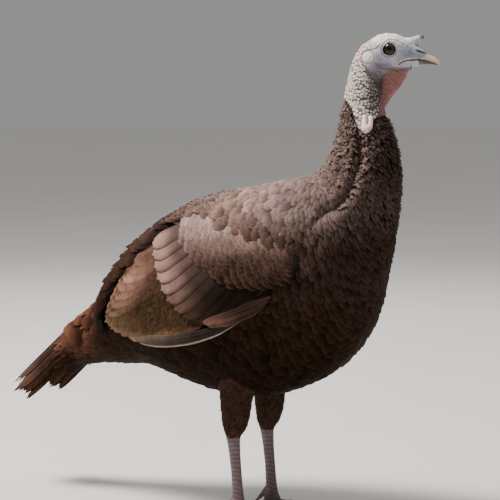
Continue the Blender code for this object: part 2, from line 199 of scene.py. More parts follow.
# A ray-casting tree over CAD solids, and which of its faces belong to a wing.
def treeOf(*names):
    points, faces, onWing = [], [], []
    for name in names:
        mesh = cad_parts[name].data
        start = len(points)
        points += [v.co for v in mesh.vertices]
        for face in mesh.polygons:
            faces.append([start + i for i in face.vertices])
            onWing.append(name.startswith(("wing", "primaries")))
    return BVHTree.FromPolygons(points, faces), onWing


# Reads a grid of rows by angle at span s and angle t.
def sampled(grid, s, t, perSpan):
    rows, columns = grid.shape[:2]
    r = np.clip(s * perSpan, 0, rows - 1.001)
    c = np.mod(t / math.tau * columns, columns)
    r0 = r.astype(int)
    c0 = c.astype(int) % columns
    c1 = (c0 + 1) % columns
    down, along = r - r0, c - np.floor(c)
    if grid.ndim == 3:
        down, along = down[..., None], along[..., None]
    near = grid[r0, c0] * (1 - along) + grid[r0, c1] * along
    far = grid[r0 + 1, c0] * (1 - along) + grid[r0 + 1, c1] * along
    return near * (1 - down) + far * down


# The outside of the CAD solids as rows round a line of stations: centre, up, side.
def wrapSurface(stations, tree, onWing, perSpan, blurs, columns=120, reach=0.2, groove=None):
    points = np.zeros((len(stations), columns, 3))
    wing = np.zeros((len(stations), columns))
    far = np.full(columns, 0.03)
    for i, (centre, up, side) in enumerate(stations):
        for k in range(columns):
            angle = math.tau * k / columns
            way = Vector(up * math.cos(angle) + side * math.sin(angle))
            hit, normal, index, distance = tree.ray_cast(Vector(centre) + way * reach, -way)
            out = reach - distance if hit is not None else 0
            if out < 0.45 * far[k]:
                out = far[k]
            elif onWing[index]:
                wing[i, k] = 1
            far[k] = out
            points[i, k] = np.array(centre) + np.array(way) * out
    for again in range(blurs):
        points = 0.5 * points + 0.25 * (np.roll(points, 1, 1) + np.roll(points, -1, 1))
        points[1:-1] = 0.5 * points[1:-1] + 0.25 * (points[2:] + points[:-2])
    surface = {"points": points, "wing": wing, "perSpan": perSpan}
    measureSurface(surface, stations)
    if groove is not None:
        surface["points"] = points - surface["normals"] * groove(points)[..., None]
        measureSurface(surface, stations)
    return surface


def measureSurface(surface, stations):
    points = surface["points"]
    around = (np.roll(points, -1, 1) - np.roll(points, 1, 1)) / (4 * math.pi / points.shape[1])
    down = np.gradient(points, axis=0) * surface["perSpan"]
    normals = np.cross(around, down)
    centres = np.array([centre for centre, up, side in stations])[:, None]
    if np.sum(normals * (points - centres)) < 0:
        normals = -normals
    surface["normals"] = normals / np.maximum(np.linalg.norm(normals, axis=2, keepdims=True), 1e-9)
    surface["downScale"] = np.maximum(np.linalg.norm(down, axis=2), 0.002)
    surface["roundScale"] = np.maximum(np.linalg.norm(around, axis=2), 0.002)


def readSurface(surface, key, s, t):
    return sampled(surface[key], s, t, surface["perSpan"])


# Vanes: every feather is a thin closed blade, stamped many times from one shape

# A closed blade as grid places: side to side u, level along it, and over or under.
def vaneShape(across, along, outline, quill=0.0, ragged=0.0):
    rows = len(along) - 1
    bm = bmesh.new()
    bmesh.ops.create_grid(bm, x_segments=across, y_segments=rows, size=1)
    copied = bmesh.ops.duplicate(bm, geom=bm.verts[:] + bm.edges[:] + bm.faces[:])["geom"]
    under = [part for part in copied if isinstance(part, bmesh.types.BMFace)]
    underVerts = {vert for face in under for vert in face.verts}
    bmesh.ops.reverse_faces(bm, faces=under)
    for vert in bm.verts:
        rim = abs(vert.co.x) > 0.999 or abs(vert.co.y) > 0.999
        vert.co.z = 0 if rim else (-1 if vert in underVerts else 1)
    bmesh.ops.remove_doubles(bm, verts=bm.verts, dist=0.001)
    bm.normal_update()
    bm.verts.index_update()
    faces = sorted(bm.faces, key=lambda face: face.normal.z)
    places = np.array([vert.co for vert in bm.verts])
    shape = {"faces": np.array([[vert.index for vert in face.verts] for face in faces])}
    bm.free()
    level = np.rint((places[:, 1] + 1) / 2 * rows).astype(int)
    v = np.array(along)[level]
    u = places[:, 0]
    tip = level == rows
    shape["level"] = level
    shape["along"] = np.array(along)
    shape["v"] = v
    shape["u"] = u * np.array([outline(x) for x in along])[level]
    shape["across"] = u
    shape["nudge"] = np.where(tip, -0.11 * u * u, 0.0)
    shape["side"] = places[:, 2]
    shape["quill"] = quill * (np.abs(u) < 0.01) * (1 - 0.7 * v)
    shape["ragged"] = ragged * (tip + 0.35 * (np.abs(u) > 0.99) * (v > 0.4))
    shape["top"] = shape["faces"][len(shape["faces"]) // 2:]
    return shape


# A rounded body feather: narrow root, full near two thirds, blunt tip.
def softOutline(v):
    widening = 0.45 + 0.55 * math.sin(min(1, v / 0.6) * math.pi / 2)
    return widening * (1 - 0.62 * max(0, (v - 0.55) / 0.45) ** 2.4)


# A long flight feather: parallel sides and a rounded end.
def bladeOutline(v):
    return (0.35 + 0.65 * min(1, v / 0.25)) * math.sqrt(max(0.03, 1 - max(0, (v - 0.72) / 0.28) ** 2.3))


# A tail feather: parallel sides that narrow to a worn tip.
def taperOutline(v):
    return (0.55 + 0.45 * min(1, v / 0.3)) * (1 - 0.80 * max(0, (v - 0.66) / 0.34) ** 1.7)


# A loose, narrow feather that ends in a point.
def strapOutline(v):
    return (0.4 + 0.6 * min(1, v / 0.3)) * (1 - 0.8 * max(0, (v - 0.5) / 0.5) ** 1.8)


softVane = vaneShape(6, (0, 0.40, 0.66, 0.84, 0.95, 1), softOutline, 0, 0.018)
neckVane = vaneShape(4, (0, 0.45, 0.72, 0.90, 1), softOutline, 0, 0.045)
smallVane = vaneShape(4, (0, 0.45, 0.75, 0.92, 1), softOutline, 0, 0.03)
strapVane = vaneShape(2, (0, 0.3, 0.55, 0.75, 0.9, 1), strapOutline, 0, 0.05)
coverVane = vaneShape(10, tuple((k / 12) ** 0.8 for k in range(13)), softOutline, 0.0004, 0.006)
tailVane = vaneShape(6, tuple((k / 16) ** 0.8 for k in range(17)), taperOutline, 0.0005, 0.012)
bladeVane = vaneShape(10, tuple((k / 22) ** 0.85 for k in range(23)), bladeOutline, 0.0006, 0.004)


# How far each point of each vane stands off its surface.
def vaneHeights(shape, roots):
    v, u = shape["v"], shape["u"]
    half = roots["half"][:, None]
    rise = roots["sink"][:, None] + (roots["rise"] - roots["sink"])[:, None] * v ** 0.8
    rise = rise + roots["roll"][:, None] * u * half + roots["cup"][:, None] * (0.6 - u * u) * half
    rise = rise + roots.get("flare", np.zeros(len(half)))[:, None] * v ** 4
    thick = roots["thick"][:, None] * shape["side"] * 0.5
    return rise + thick + shape["quill"] * (shape["side"] >= 0)


def raggedEnds(shape, roots):
    return shape["nudge"] + shape["ragged"] * dice.uniform(-1, 1, (len(roots["half"]), len(shape["v"])))


# Bends each vane along the surface, from its root at span s and angle t.
def layOnSurface(surface, shape, roots):
    s, t = [roots["s"]], [roots["t"]]
    for a, b in zip(shape["along"], shape["along"][1:]):
        step = (b - a) * roots["length"]
        s.append(s[-1] + step / readSurface(surface, "downScale", s[-1], t[-1]))
        t.append(t[-1] + step * roots["skew"] / readSurface(surface, "roundScale", s[-1], t[-1]))
    s, t = np.stack(s, 1)[:, shape["level"]], np.stack(t, 1)[:, shape["level"]]
    ends = raggedEnds(shape, roots)
    s = s + ends * roots["length"][:, None] / readSurface(surface, "downScale", s, t)
    t = t + shape["u"] * roots["half"][:, None] / readSurface(surface, "roundScale", s, t)
    points, normals = readSurface(surface, "points", s, t), readSurface(surface, "normals", s, t)
    return points + normals * vaneHeights(shape, roots)[..., None], normals


def mapCorners(mesh, name, places, corners):
    flat = places.reshape(-1, 2)[corners].astype(np.float32).ravel()
    mesh.uv_layers.new(name=name).data.foreach_set("uv", flat)


vaneLook = {
    # rootShade: painted shade, the dye's share left at the root under the feathers above
    "rootShade": 0.28,  # of the dye, at the hidden root
    "lit": (0.48, 0.90),  # share of a vane's length over which the full dye comes up
    "tip": (0.86, 1.02),  # and over which the tip's dye does
    # rim: painted shade along both edges, in the gaps between feathers
    "rim": (0.55, 1.0), "edge": (0.45, 0.9),  # shares of its half width for a dark rim and a pale edge
    "sharpAngle": 60,
}


# The dye at every point of every vane: painted shade at the root, where the feathers above cover it, its own
# along it, another at the tip.
def vaneDyes(shape, roots):
    look = vaneLook
    across = shape["across"]
    v = shape["v"][None, :]
    rounded = 0.25 * np.abs(across) ** 3 * (shape["v"] > 0.3)
    tipShare = ramp(np.maximum(v, 0) + rounded, *look["tip"]) * roots["tipShare"][:, None]
    shade = look["rootShade"] + (1 - look["rootShade"]) * ramp(v[..., None], *look["lit"])
    colours = mixed(roots["dye"][:, None] * shade, roots["tipDye"][:, None], tipShare)
    # painted shade along the rims, in the gaps between neighbouring feathers
    if "rimShade" in roots:
        rim = ramp(np.abs(across), *look["rim"]) * roots["rimShade"][:, None]
        colours = colours * (1 - rim)[..., None]
    if "paleEdge" in roots:
        low = ramp(-across, *look["edge"]) * roots["paleEdge"][:, None]
        colours = mixed(colours, "buff", low)
    return np.clip(colours, 0, 1)


# Joins the laid vanes into one piece, with their dyes, barb map and bake map.
def stampVanes(name, shape, points, normals, roots, material, slot, replaced=()):
    count, size = points.shape[:2]
    faces = shape["faces"]
    tops = points[:, shape["top"]]
    facing = np.cross(tops[:, :, 1] - tops[:, :, 0], tops[:, :, 2] - tops[:, :, 0])
    if np.sum(facing * normals[:, shape["top"][:, 0]]) < 0:
        faces = faces[:, ::-1]
    corners = (faces[None] + size * np.arange(count)[:, None, None]).reshape(-1)
    mesh = bpy.data.meshes.new(name)
    mesh.vertices.add(count * size)
    mesh.vertices.foreach_set("co", points.astype(np.float32).ravel())
    mesh.loops.add(len(corners))
    mesh.loops.foreach_set("vertex_index", corners.astype(np.int32))
    mesh.polygons.add(len(corners) // 4)
    mesh.polygons.foreach_set("loop_start", np.arange(0, len(corners), 4, dtype=np.int32))
    mesh.update(calc_edges=True)
    barbs = np.empty((count, size, 2))
    barbs[..., 0] = shape["u"] * roots["half"][:, None]
    barbs[..., 1] = shape["v"] * roots["length"][:, None]
    mapCorners(mesh, "barbs", barbs, corners)
    patch = roots["patchSize"][:, None, :] * np.stack([shape["u"] * 0.5, shape["v"] - 0.5], -1)
    places = roots["patch"][:, None, :] + patch
    mapCorners(mesh, "OFBake", places, corners)
    paint(mesh, vaneDyes(shape, roots).reshape(-1, 3))
    mesh.shade_smooth()
    mesh.set_sharp_from_angle(angle=math.radians(vaneLook["sharpAngle"]))
    newPiece(name, mesh, material, slot, *replaced)
    print(name, count, "feathers,", 2 * count * len(faces), "triangles")


def coverSurface(name, surface, shape, roots, material, slot="brown_feathers", replaced=()):
    points, normals = layOnSurface(surface, shape, roots)
    stampVanes(name, shape, points, normals, roots, material, slot, replaced)


# Adds columns to roots, one value for each vane.
def fill(roots, **values):
    count = len(roots["half"])
    for key, value in values.items():
        roots[key] = np.full(count, value, float) if np.ndim(value) == 0 else np.array(value, float)


def givePatches(roots, patches):
    roots["patch"], size = patches
    roots["patchSize"] = np.broadcast_to(size, roots["patch"].shape).copy()


def chosen(roots, mask):
    return {key: value[mask] for key, value in roots.items()}


# Room on the bake map for small feathers, by plane and turn.
def unwrapped(s, t):
    down = (s - s.min()) / (s.max() - s.min())
    return np.stack([0.01 + 0.98 * t / math.tau, 0.01 + 0.98 * down], 1), 0.003


# Room on the bake map for small feathers, by their places.
def spreadPatches(places):
    low, high = places.min(0), places.max(0)
    return 0.02 + 0.96 * (places - low) / (high - low), 0.003


# Room on the bake map for long feathers: one strip each, side by side.
def stripPatches(count):
    places = np.stack([(np.arange(count) + 0.5) / count, np.full(count, 0.5)], 1)
    return places, (0.8 / count, 0.9)


# Finishes

def newMaterial(name, roughness, specular=0.5, **constants):
    material = bpy.data.materials.new(name)
    material.use_nodes = True
    tree = material.node_tree
    shader = tree.nodes["Principled BSDF"]
    shader.inputs["Roughness"].default_value = roughness
    shader.inputs["Specular IOR Level"].default_value = specular
    for key, value in constants.items():
        shader.inputs[key.replace("_", " ")].default_value = value
    return material, tree, shader


def addNode(tree, kind, inputs=None, **settings):
    made = tree.nodes.new("ShaderNode" + kind)
    for key, value in settings.items():
        setattr(made, key, value)
    for key, value in (inputs or {}).items():
        if isinstance(value, bpy.types.NodeSocket):
            tree.links.new(value, made.inputs[key])
        else:
            made.inputs[key].default_value = value
    return made


def maths(tree, operation, first, second=0.0):
    return addNode(tree, "Math", {0: first, 1: second}, operation=operation).outputs[0]


def plainColour(tree, colour):
    made = addNode(tree, "RGB").outputs[0]
    made.default_value = (*colour, 1)
    return made


def dyeOf(tree):
    return addNode(tree, "Attribute", attribute_name="dye").outputs["Color"]


def objectSpace(tree):
    return addNode(tree, "TexCoord").outputs["Object"]


def raised(tree, shader, height, strength, depth):
    bump = addNode(tree, "Bump", {"Height": height, "Strength": strength, "Distance": depth})
    tree.links.new(bump.outputs[0], shader.inputs["Normal"])


def noise(tree, place, scale, detail, **more):
    return addNode(tree, "TexNoise", {"Vector": place, "Scale": scale, "Detail": detail, **more}).outputs[0]


def scaledRange(tree, value, low, high, toLow, toHigh):
    made = addNode(tree, "MapRange", {"Value": value, "From Min": low, "From Max": high,
                                      "To Min": toLow, "To Max": toHigh})
    return made.outputs["Result"]


# A colour made lighter or darker by a factor.
def times(tree, colour, factor):
    made = addNode(tree, "VectorMath", {0: colour, 1: factor}, operation="MULTIPLY")
    return made.outputs[0]


def blendColour(tree, under, over, share):
    made = addNode(tree, "Mix", data_type="RGBA")
    for key, value in (("Factor", share), ("A", under), ("B", over)):
        socket = next(s for s in made.inputs if s.name == key and s.enabled)
        if isinstance(value, bpy.types.NodeSocket):
            tree.links.new(value, socket)
        else:
            socket.default_value = value
    return next(s for s in made.outputs if s.enabled)


featherFinish = {
    "specular": 0.02, "barbSize": 0.0011, "barbSweep": 0.95, "barbStretch": 0.16, "barbShade": 0.24,
    "patchSize": 0.016, "patchShade": 0.22, "roughness": 0.55, "barbHeight": 0.00035,
    "barWidth": 1 / 620, "barBreak": 1 / 260,  # of the bars on flight feathers
}


# Barbs that sweep out from the quill, mottling, and on flight feathers fine bars.
def featherMaterial(name, look, bars=0.0, barColour=(0.3, 0.18, 0.09), quillShade=0.0):
    material, tree, shader = newMaterial(name, look["roughness"], look["specular"])
    place = addNode(tree, "SeparateXYZ", {0: addNode(tree, "UVMap", uv_map="barbs").outputs[0]})
    aside = maths(tree, "ABSOLUTE", place.outputs[0])
    along = maths(tree, "SUBTRACT", place.outputs[1], maths(tree, "MULTIPLY", aside, look["barbSweep"]))
    where = addNode(tree, "NewGeometry").outputs["Random Per Island"]
    barbs = addNode(tree, "CombineXYZ", {0: along, 1: maths(tree, "MULTIPLY", aside, look["barbStretch"]),
                                         2: maths(tree, "MULTIPLY", where, 0.05)}).outputs[0]
    strands = noise(tree, barbs, 1 / look["barbSize"], 2.0, Roughness=0.6)
    mottle = noise(tree, objectSpace(tree), 1 / look["patchSize"], 3.0)
    light = scaledRange(tree, strands, 0.25, 0.75, 1 - look["barbShade"], 1 + look["barbShade"])
    patchy = scaledRange(tree, mottle, 0.3, 0.7, 1 - look["patchShade"], 1 + look["patchShade"])
    colour = times(tree, times(tree, dyeOf(tree), light), patchy)
    if bars:
        wander = noise(tree, barbs, 1 / look["barBreak"], 2.0)
        fine = noise(tree, barbs, 1 / look["barWidth"], 3.0, Distortion=1.2)
        share = maths(tree, "MULTIPLY", scaledRange(tree, fine, 0.46, 0.60, 0.0, bars),
                      scaledRange(tree, wander, 0.35, 0.6, 0.2, 1.0))
        colour = blendColour(tree, colour, (*barColour, 1), share)
    if quillShade:
        quill = scaledRange(tree, aside, 0.0004, 0.0012, quillShade, 0.0)
        colour = blendColour(tree, colour, (*dyes["tan"], 1), quill)
    tree.links.new(colour, shader.inputs["Base Color"])
    raised(tree, shader, strands, 0.6, look["barbHeight"])
    return material


coatMaterial = featherMaterial("coatFeather", featherFinish)
coverMaterial = featherMaterial("coverFeather", {**featherFinish, "roughness": 0.50, "specular": 0.06},
                                quillShade=0.10)
flightMaterial = featherMaterial("flightFeather", {**featherFinish, "barbShade": 0.3, "barbSize": 0.0016},
                                 bars=0.35, barColour=(0.20, 0.105, 0.055), quillShade=0.3)
tailMaterial = featherMaterial("tailFeather", {**featherFinish, "barbShade": 0.3}, bars=0.2,
                               barColour=(0.16, 0.075, 0.045), quillShade=0.25)


# The body's coat: tracts that run from the throat to the tail

bodyLine = {
    # top x, top z, low x, low z, degrees to her left: planes that fan from crown to tail
    "planes": [
        (0.2770, 0.6865, 0.3007, 0.6387, 22), (0.2656, 0.6790, 0.2966, 0.6366, 22),
        (0.2565, 0.6650, 0.2938, 0.6324, 22), (0.2503, 0.6470, 0.2923, 0.6255, 22),
        (0.2473, 0.6330, 0.2933, 0.6155, 22), (0.2443, 0.6180, 0.2963, 0.5990, 19),
        (0.2423, 0.6050, 0.3003, 0.5790, 14), (0.2403, 0.5920, 0.3103, 0.5520, 8),
        (0.2383, 0.5780, 0.3173, 0.5200, 3), (0.2353, 0.5630, 0.3183, 0.4850, 0),
        (0.2303, 0.5450, 0.3123, 0.4400, 0), (0.2223, 0.5270, 0.3033, 0.3900, 0),
        (0.2103, 0.5120, 0.2893, 0.3350, 0), (0.1943, 0.5010, 0.2703, 0.2780, 0),
        (0.1753, 0.4950, 0.2333, 0.2290, 0), (0.1423, 0.4890, 0.1753, 0.1950, 0),
        (0.0923, 0.4790, 0.1093, 0.1760, 0), (0.0173, 0.4600, 0.0323, 0.1790, 0),
        (-0.0607, 0.4250, -0.0307, 0.1940, 0), (-0.1177, 0.3760, -0.0847, 0.2080, 0),
        (-0.1587, 0.3260, -0.1347, 0.2050, 0), (-0.1947, 0.2910, -0.1747, 0.2040, 0),
        (-0.2267, 0.2690, -0.2007, 0.2000, 0), (-0.2577, 0.2475, -0.2247, 0.1970, 0),
        (-0.2850, 0.2240, -0.2560, 0.1820, 0), (-0.3150, 0.1990, -0.2900, 0.1600, 0),
    ],
    "perSpan": 9,
    "neckAxis": 0.27325,
    # the fold between nape and throat, down to the shoulder, on her right
    "fold": [(0.280, -0.029, 0.600), (0.284, -0.035, 0.569), (0.288, -0.045, 0.522), (0.281, -0.054, 0.488),
             (0.274, -0.061, 0.471), (0.263, -0.069, 0.457), (0.247, -0.076, 0.449), (0.236, -0.086, 0.430)],
    "foldDepth": 0.0095,
    "foldWidth": 0.0062,
    "ruffleEvery": 0.0118,  # soft rolls of plumage round the neck
    "ruffleDepth": 0.0042,
}


def planeStations(planes, steps):
    axis = np.array([bodyLine["neckAxis"], 0, 0])
    made = []
    for topX, topZ, lowX, lowZ, yaw in throughRows(planes, steps):
        a = math.radians(yaw)
        turn = np.array([[math.cos(a), -math.sin(a), 0], [math.sin(a), math.cos(a), 0], [0, 0, 1]])
        top, low = np.array([topX, 0, topZ]), np.array([lowX, 0, lowZ])
        up = (top - low) / np.linalg.norm(top - low)
        made.append((axis + turn @ ((top + low) / 2 - axis), turn @ up, turn @ np.array([0, -1.0, 0])))
    return made


def distanceToLine(points, line):
    best = np.full(points.shape[:-1], 9.0)
    share = np.zeros(points.shape[:-1])
    spans = len(line) - 1
    for k, (a, b) in enumerate(zip(line, line[1:])):
        t = np.clip(((points - a) @ (b - a)) / ((b - a) @ (b - a)), 0, 1)
        d = np.linalg.norm(points - a - t[..., None] * (b - a), axis=-1)
        share = np.where(d < best, (k + t) / spans, share)
        best = np.minimum(best, d)
    return best, share


# How deep the neck's plumage sinks between its rolls.
def ruffles(points):
    x, y, z = points[..., 0], points[..., 1], points[..., 2]
    lean = z + 0.30 * (x - 0.27) * ramp(0.29 - x, 0.0, 0.05) + 0.0040 * ripple(points, 0.055, 3)
    turn = np.mod(lean / bodyLine["ruffleEvery"] + 0.35 * ripple(points, 0.040, 5), 1)
    roll = (1 - turn) * ramp(turn, 0.0, 0.22)
    patchy = 0.55 + 0.45 * ripple(points, 0.032, 8)
    reach = ramp(z, 0.470, 0.530) * (1 - ramp(z, 0.596, 0.606)) * ramp(x, 0.19, 0.24)
    return bodyLine["ruffleDepth"] * (1 - roll) * patchy * reach


# How deep the coat sinks along the folds at both sides of the neck.
def foldDepth(points):
    depth = 0
    for side in (1, -1):
        line = np.array(bodyLine["fold"]) * (1, side, 1)
        d, share = distanceToLine(points, line)
        ends = ramp(share, 0.12, 0.26) * (1 - 0.6 * ramp(share, 0.8, 1))
        depth = depth + bodyLine["foldDepth"] * ends * ridge(d, 0, bodyLine["foldWidth"])
    return depth


def coatHollows(points):
    return foldDepth(points) + ruffles(points)


fleshNodes = ["trunk", "neck_base", "neck", "head", "tail_coverts", "tail"]
wingNodes = ["wing_right", "wing_left", "primaries_right", "primaries_left"]
bodyStations = planeStations(bodyLine["planes"], bodyLine["perSpan"])
overWings = wrapSurface(bodyStations, *treeOf(*fleshNodes, *wingNodes), bodyLine["perSpan"], 2,
                        groove=coatHollows)
underWings = wrapSurface(bodyStations, *treeOf(*fleshNodes), bodyLine["perSpan"], 2, groove=coatHollows)
print("surfaces wrapped")

bodyCoat = {
    "columns": 56,
    "pitch": 0.30,  # of a feather's length, from row to row
    "neckColumns": 84, "neckPitch": 0.27,
    "neckEnd": 10.6,
    "spread": 1.75,  # of a column's width, across a feather
    "narrowest": 0.0018,
    "ruffledTo": (8.5, 11.5),  # planes over which the neck's loose plumage turns smooth
    "bellyFrom": 15, "rumpFrom": 18, "ventFrom": 20.5,  # planes that part the coat's pieces
    "topTurn": 0.25,  # cosine of the turn that parts breast and belly from mantle and rump
    "underWing": 0.55,  # share of wing around a place above which it counts as hidden
    # planes that the tract crosses, and the length of a feather at each
    "lengths": ((5, 6, 7, 9, 11, 13, 15, 17, 20, 23),
                (0.010, 0.012, 0.015, 0.018, 0.022, 0.027, 0.030, 0.033, 0.036, 0.038)),
    # plane where bare skin ends, by the turn from the nape: it reaches furthest down at the sides
    "bareTurn": (0, 0.70, 1.13, 1.32, 1.50, 1.70, 1.85, 2.00, 2.60, 3.15),
    "barePlane": (5.90, 5.95, 6.30, 6.80, 7.25, 7.50, 7.10, 6.60, 5.85, 5.80),
    "lastPlane": 22.6,
    # x and z of the line above which the back's feathers hide the wing
    "scapularEdge": [(-0.200, 0.20), (-0.134, 0.262), (-0.125, 0.275), (-0.116, 0.302), (-0.098, 0.324),
                     (-0.080, 0.350), (-0.053, 0.371), (-0.030, 0.392), (-0.010, 0.418), (0.010, 0.440),
                     (0.040, 0.447), (0.104, 0.441), (0.151, 0.424), (0.176, 0.419),
                     (0.201, 0.420), (0.223, 0.414), (0.234, 0.426), (0.260, 0.440)],
    "thick": 0.0004,
}


rumpLook = {
    # plane of each row of roots, how many feathers it has, and how far round they reach
    "rows": ((19.4, 6, 0.95), (20.0, 8, 1.25), (20.6, 7, 1.30), (21.1, 8, 1.30)),
    "barePlanes": (19.9, 21.3), "bareReach": 1.0,  # where they take the place of the coat
    "length": 0.056, "half": 0.0165,
}


def columnTurns(columns):
    return (np.arange(columns) + 0.5) * math.tau / columns


# Roots in staggered columns, each stepping down the surface by a share of its feather.
def rootsDown(surface, columns, start, end, lengthAt, pitch):
    t = columnTurns(columns)
    s = start + np.zeros(columns)
    s = s + (np.arange(columns) % 2) * 0.5 * pitch * lengthAt(s, t) / readSurface(surface, "downScale", s, t)
    found = []
    while np.any(s < end):
        live = s < end
        found.append(np.stack([s[live], t[live]], 1))
        s = s + pitch * lengthAt(s, t) / readSurface(surface, "downScale", s, t)
    return np.concatenate(found)


def bodyLength(s, t):
    under = 0.5 - 0.5 * np.cos(t)  # 1 along the breast and belly
    return np.interp(s, *bodyCoat["lengths"]) * (1 + 0.25 * under * ramp(s, 12, 16))


def neckLength(s, t):
    return 0.85 * bodyLength(s, t)


# Where the bare skin of the neck gives way to feathers.
def bareLine(t):
    turn = np.abs((t + math.pi) % math.tau - math.pi)
    return np.interp(turn, bodyCoat["bareTurn"], bodyCoat["barePlane"])


# The plumage's colour at places on her body. Darker low down and at the breast's front, partly its own tone
# and partly painted shade; paler on the mantle, partly its own tone and partly a painted sheen.
def plumage(points):
    x, y, z = points[..., 0], np.abs(points[..., 1]), points[..., 2]
    # darker low down: partly her own tone, partly painted shade
    colour = mixed("umber", "cocoa", ramp(z, 0.30, 0.45))
    # paler on the mantle: partly its own tone, partly a painted sheen
    mantle = ramp(z, 0.415, 0.465) * ramp(x, -0.02, 0.06) * (1 - 0.6 * ramp(x, 0.15, 0.22))
    colour = mixed(colour, colourOf("taupe") * 1.25, 0.8 * mantle * (1 - 0.15 * ramp(z, 0.50, 0.53)))
    # darker under the tail: partly its own tone, partly painted shade
    colour = mixed(colour, "soot", 0.8 * (1 - ramp(z, 0.22, 0.32)) * ramp(x, -0.16, -0.04))
    # darker at the breast's front: partly its own tone, partly painted shade
    front = ramp(x - 0.30 * (z - 0.50), 0.282, 0.306) * ramp(z, 0.34, 0.42)
    colour = mixed(colour, "soot", 0.5 * front)
    rump = ramp(-x, 0.12, 0.17) * ramp(z, 0.212, 0.25)
    colour = mixed(colour, "rufous", 0.85 * rump)
    colour = colour * (1 + ramp(x, 0.14, 0.21)[..., None] * (0.10, 0.26, 0.40))
    # darker still low at the rear: partly its own tone, partly painted shade
    return mixed(colour, "soot", 0.5 * ramp(-x, 0.10, 0.16) * (1 - ramp(z, 0.205, 0.235)))


# Where the coat's feathers root, with their lengths and half widths.
def coatRoots():
    look = bodyCoat
    first, last = look["neckEnd"], look["lastPlane"]
    found = rootsDown(overWings, look["columns"], first, last, bodyLength, look["pitch"])
    bareEnd = bareLine(columnTurns(look["neckColumns"]))
    fine = rootsDown(overWings, look["neckColumns"], bareEnd, first, neckLength, look["neckPitch"])
    onNeck = np.arange(len(found) + len(fine)) >= len(found)
    found = np.concatenate([found, fine])
    s, t = found[:, 0], found[:, 1]
    count = len(s)
    ruffled = 1 - ramp(s, *look["ruffledTo"])
    s = s + dice.normal(0, 0.035, count)
    t = t + dice.normal(0, 0.014 + 0.02 * ruffled, count)
    length = np.where(onNeck, neckLength(s, t), bodyLength(s, t)) * dice.uniform(0.86, 1.14, count)
    girth = readSurface(overWings, "roundScale", s, t)
    columns = np.where(onNeck, look["neckColumns"] * (1.2 - 0.25 * ramp(s, 7.5, 10)), look["columns"])
    half = 0.5 * look["spread"] * girth * math.tau / columns
    half = np.clip(half, look["narrowest"], 0.42 * length + 0.001)
    return {"s": s, "t": t, "length": length, "half": half, "onNeck": onNeck, "ruffled": ruffled,
            "place": readSurface(overWings, "points", s, t)}


# How they lie: loose on the neck, lifted down the back and over the wing's edge.
def layCoat(roots, back):
    s, t, place, ruffled = roots["s"], roots["t"], roots["place"], roots["ruffled"]
    count = len(s)
    edgeZ = np.interp(place[:, 0], *zip(*bodyCoat["scapularEdge"]))
    overWing = 1 - ramp(place[:, 2] - edgeZ, 0.004, 0.040)
    overWing *= ramp(s, 10.5, 11.5) * (1 - ramp(s, 17.5, 18.5)) * (np.cos(t) > -0.2)
    fill(roots, sink=-0.0042 + 0.001 * ruffled, rise=0.0008 + 0.0008 * ruffled, cup=0.10,
         thick=bodyCoat["thick"], flare=0.0012 * ruffled + 0.0015 * back)
    roots["roll"] = np.where(t < math.pi, 0.06, -0.06) + dice.normal(0, 0.04 + 0.05 * ruffled, count)
    roots["rise"] += dice.uniform(-0.0006, 0.0010 + 0.0012 * ruffled, count) + 0.0024 * overWing
    roots["flare"] += dice.uniform(0, 0.0030, count) * back + dice.uniform(0, 0.0012, count) * ruffled
    roots["skew"] = dice.normal(0, 0.07 + 0.10 * ruffled + 0.12 * back, count)


# Their dyes: the plumage's colour, with painted shade in the neck's hollows and folds and painted light on
# its rolls, rufous ends on the rump.
def dyeCoat(roots, back):
    place, ruffled = roots["place"], roots["ruffled"]
    count = len(place)
    own = plumage(place) * dice.uniform(0.78, 1.22, (count, 1)) * (1 + dice.normal(0, 0.025, (count, 3)))
    own = own * (1 - 0.35 * back)[:, None]
    # painted light on the crests of the neck's rolls, painted shade in the hollows between them
    own = own * (1 + ruffled * (0.42 - 1.1 * ruffles(place) / bodyLine["ruffleDepth"]))[:, None]
    # painted shade along the folds at the sides of the neck
    own = own * (1 - 0.6 * foldDepth(place) / bodyLine["foldDepth"])[:, None]
    rump = ramp(-place[:, 0], 0.12, 0.18) * ramp(place[:, 2], 0.22, 0.27)
    roots["dye"] = own
    roots["tipDye"] = mixed(mixed(own * 1.5, "tan", 0.12 + 0.15 * ruffled), colourOf("rufous") * 1.5, rump)
    roots["tipShare"] = np.maximum(0.25 + 0.35 * ruffled, 0.7 * rump)


def bodyTract():
    roots = coatRoots()
    s, t = roots["s"], roots["t"]
    back = ramp(s, 15.2, 16.5) * (1 - ramp(s, 20.3, 21.5)) * ramp(np.cos(t), 0.55, 0.9)
    layCoat(roots, back)
    dyeCoat(roots, back)
    return roots


# Whether the wing hides a place and all the feathers next to it.
def buried(s, t):
    down = 0.022 / readSurface(overWings, "downScale", s, t)
    aside = 0.014 / readSurface(overWings, "roundScale", s, t)
    steps = [(a, b) for a in (-1, 0, 1) for b in (-1, 0, 1)]
    near = [readSurface(overWings, "wing", s + a * down, t + b * aside) for a, b in steps]
    return np.min(near, 0) > bodyCoat["underWing"]


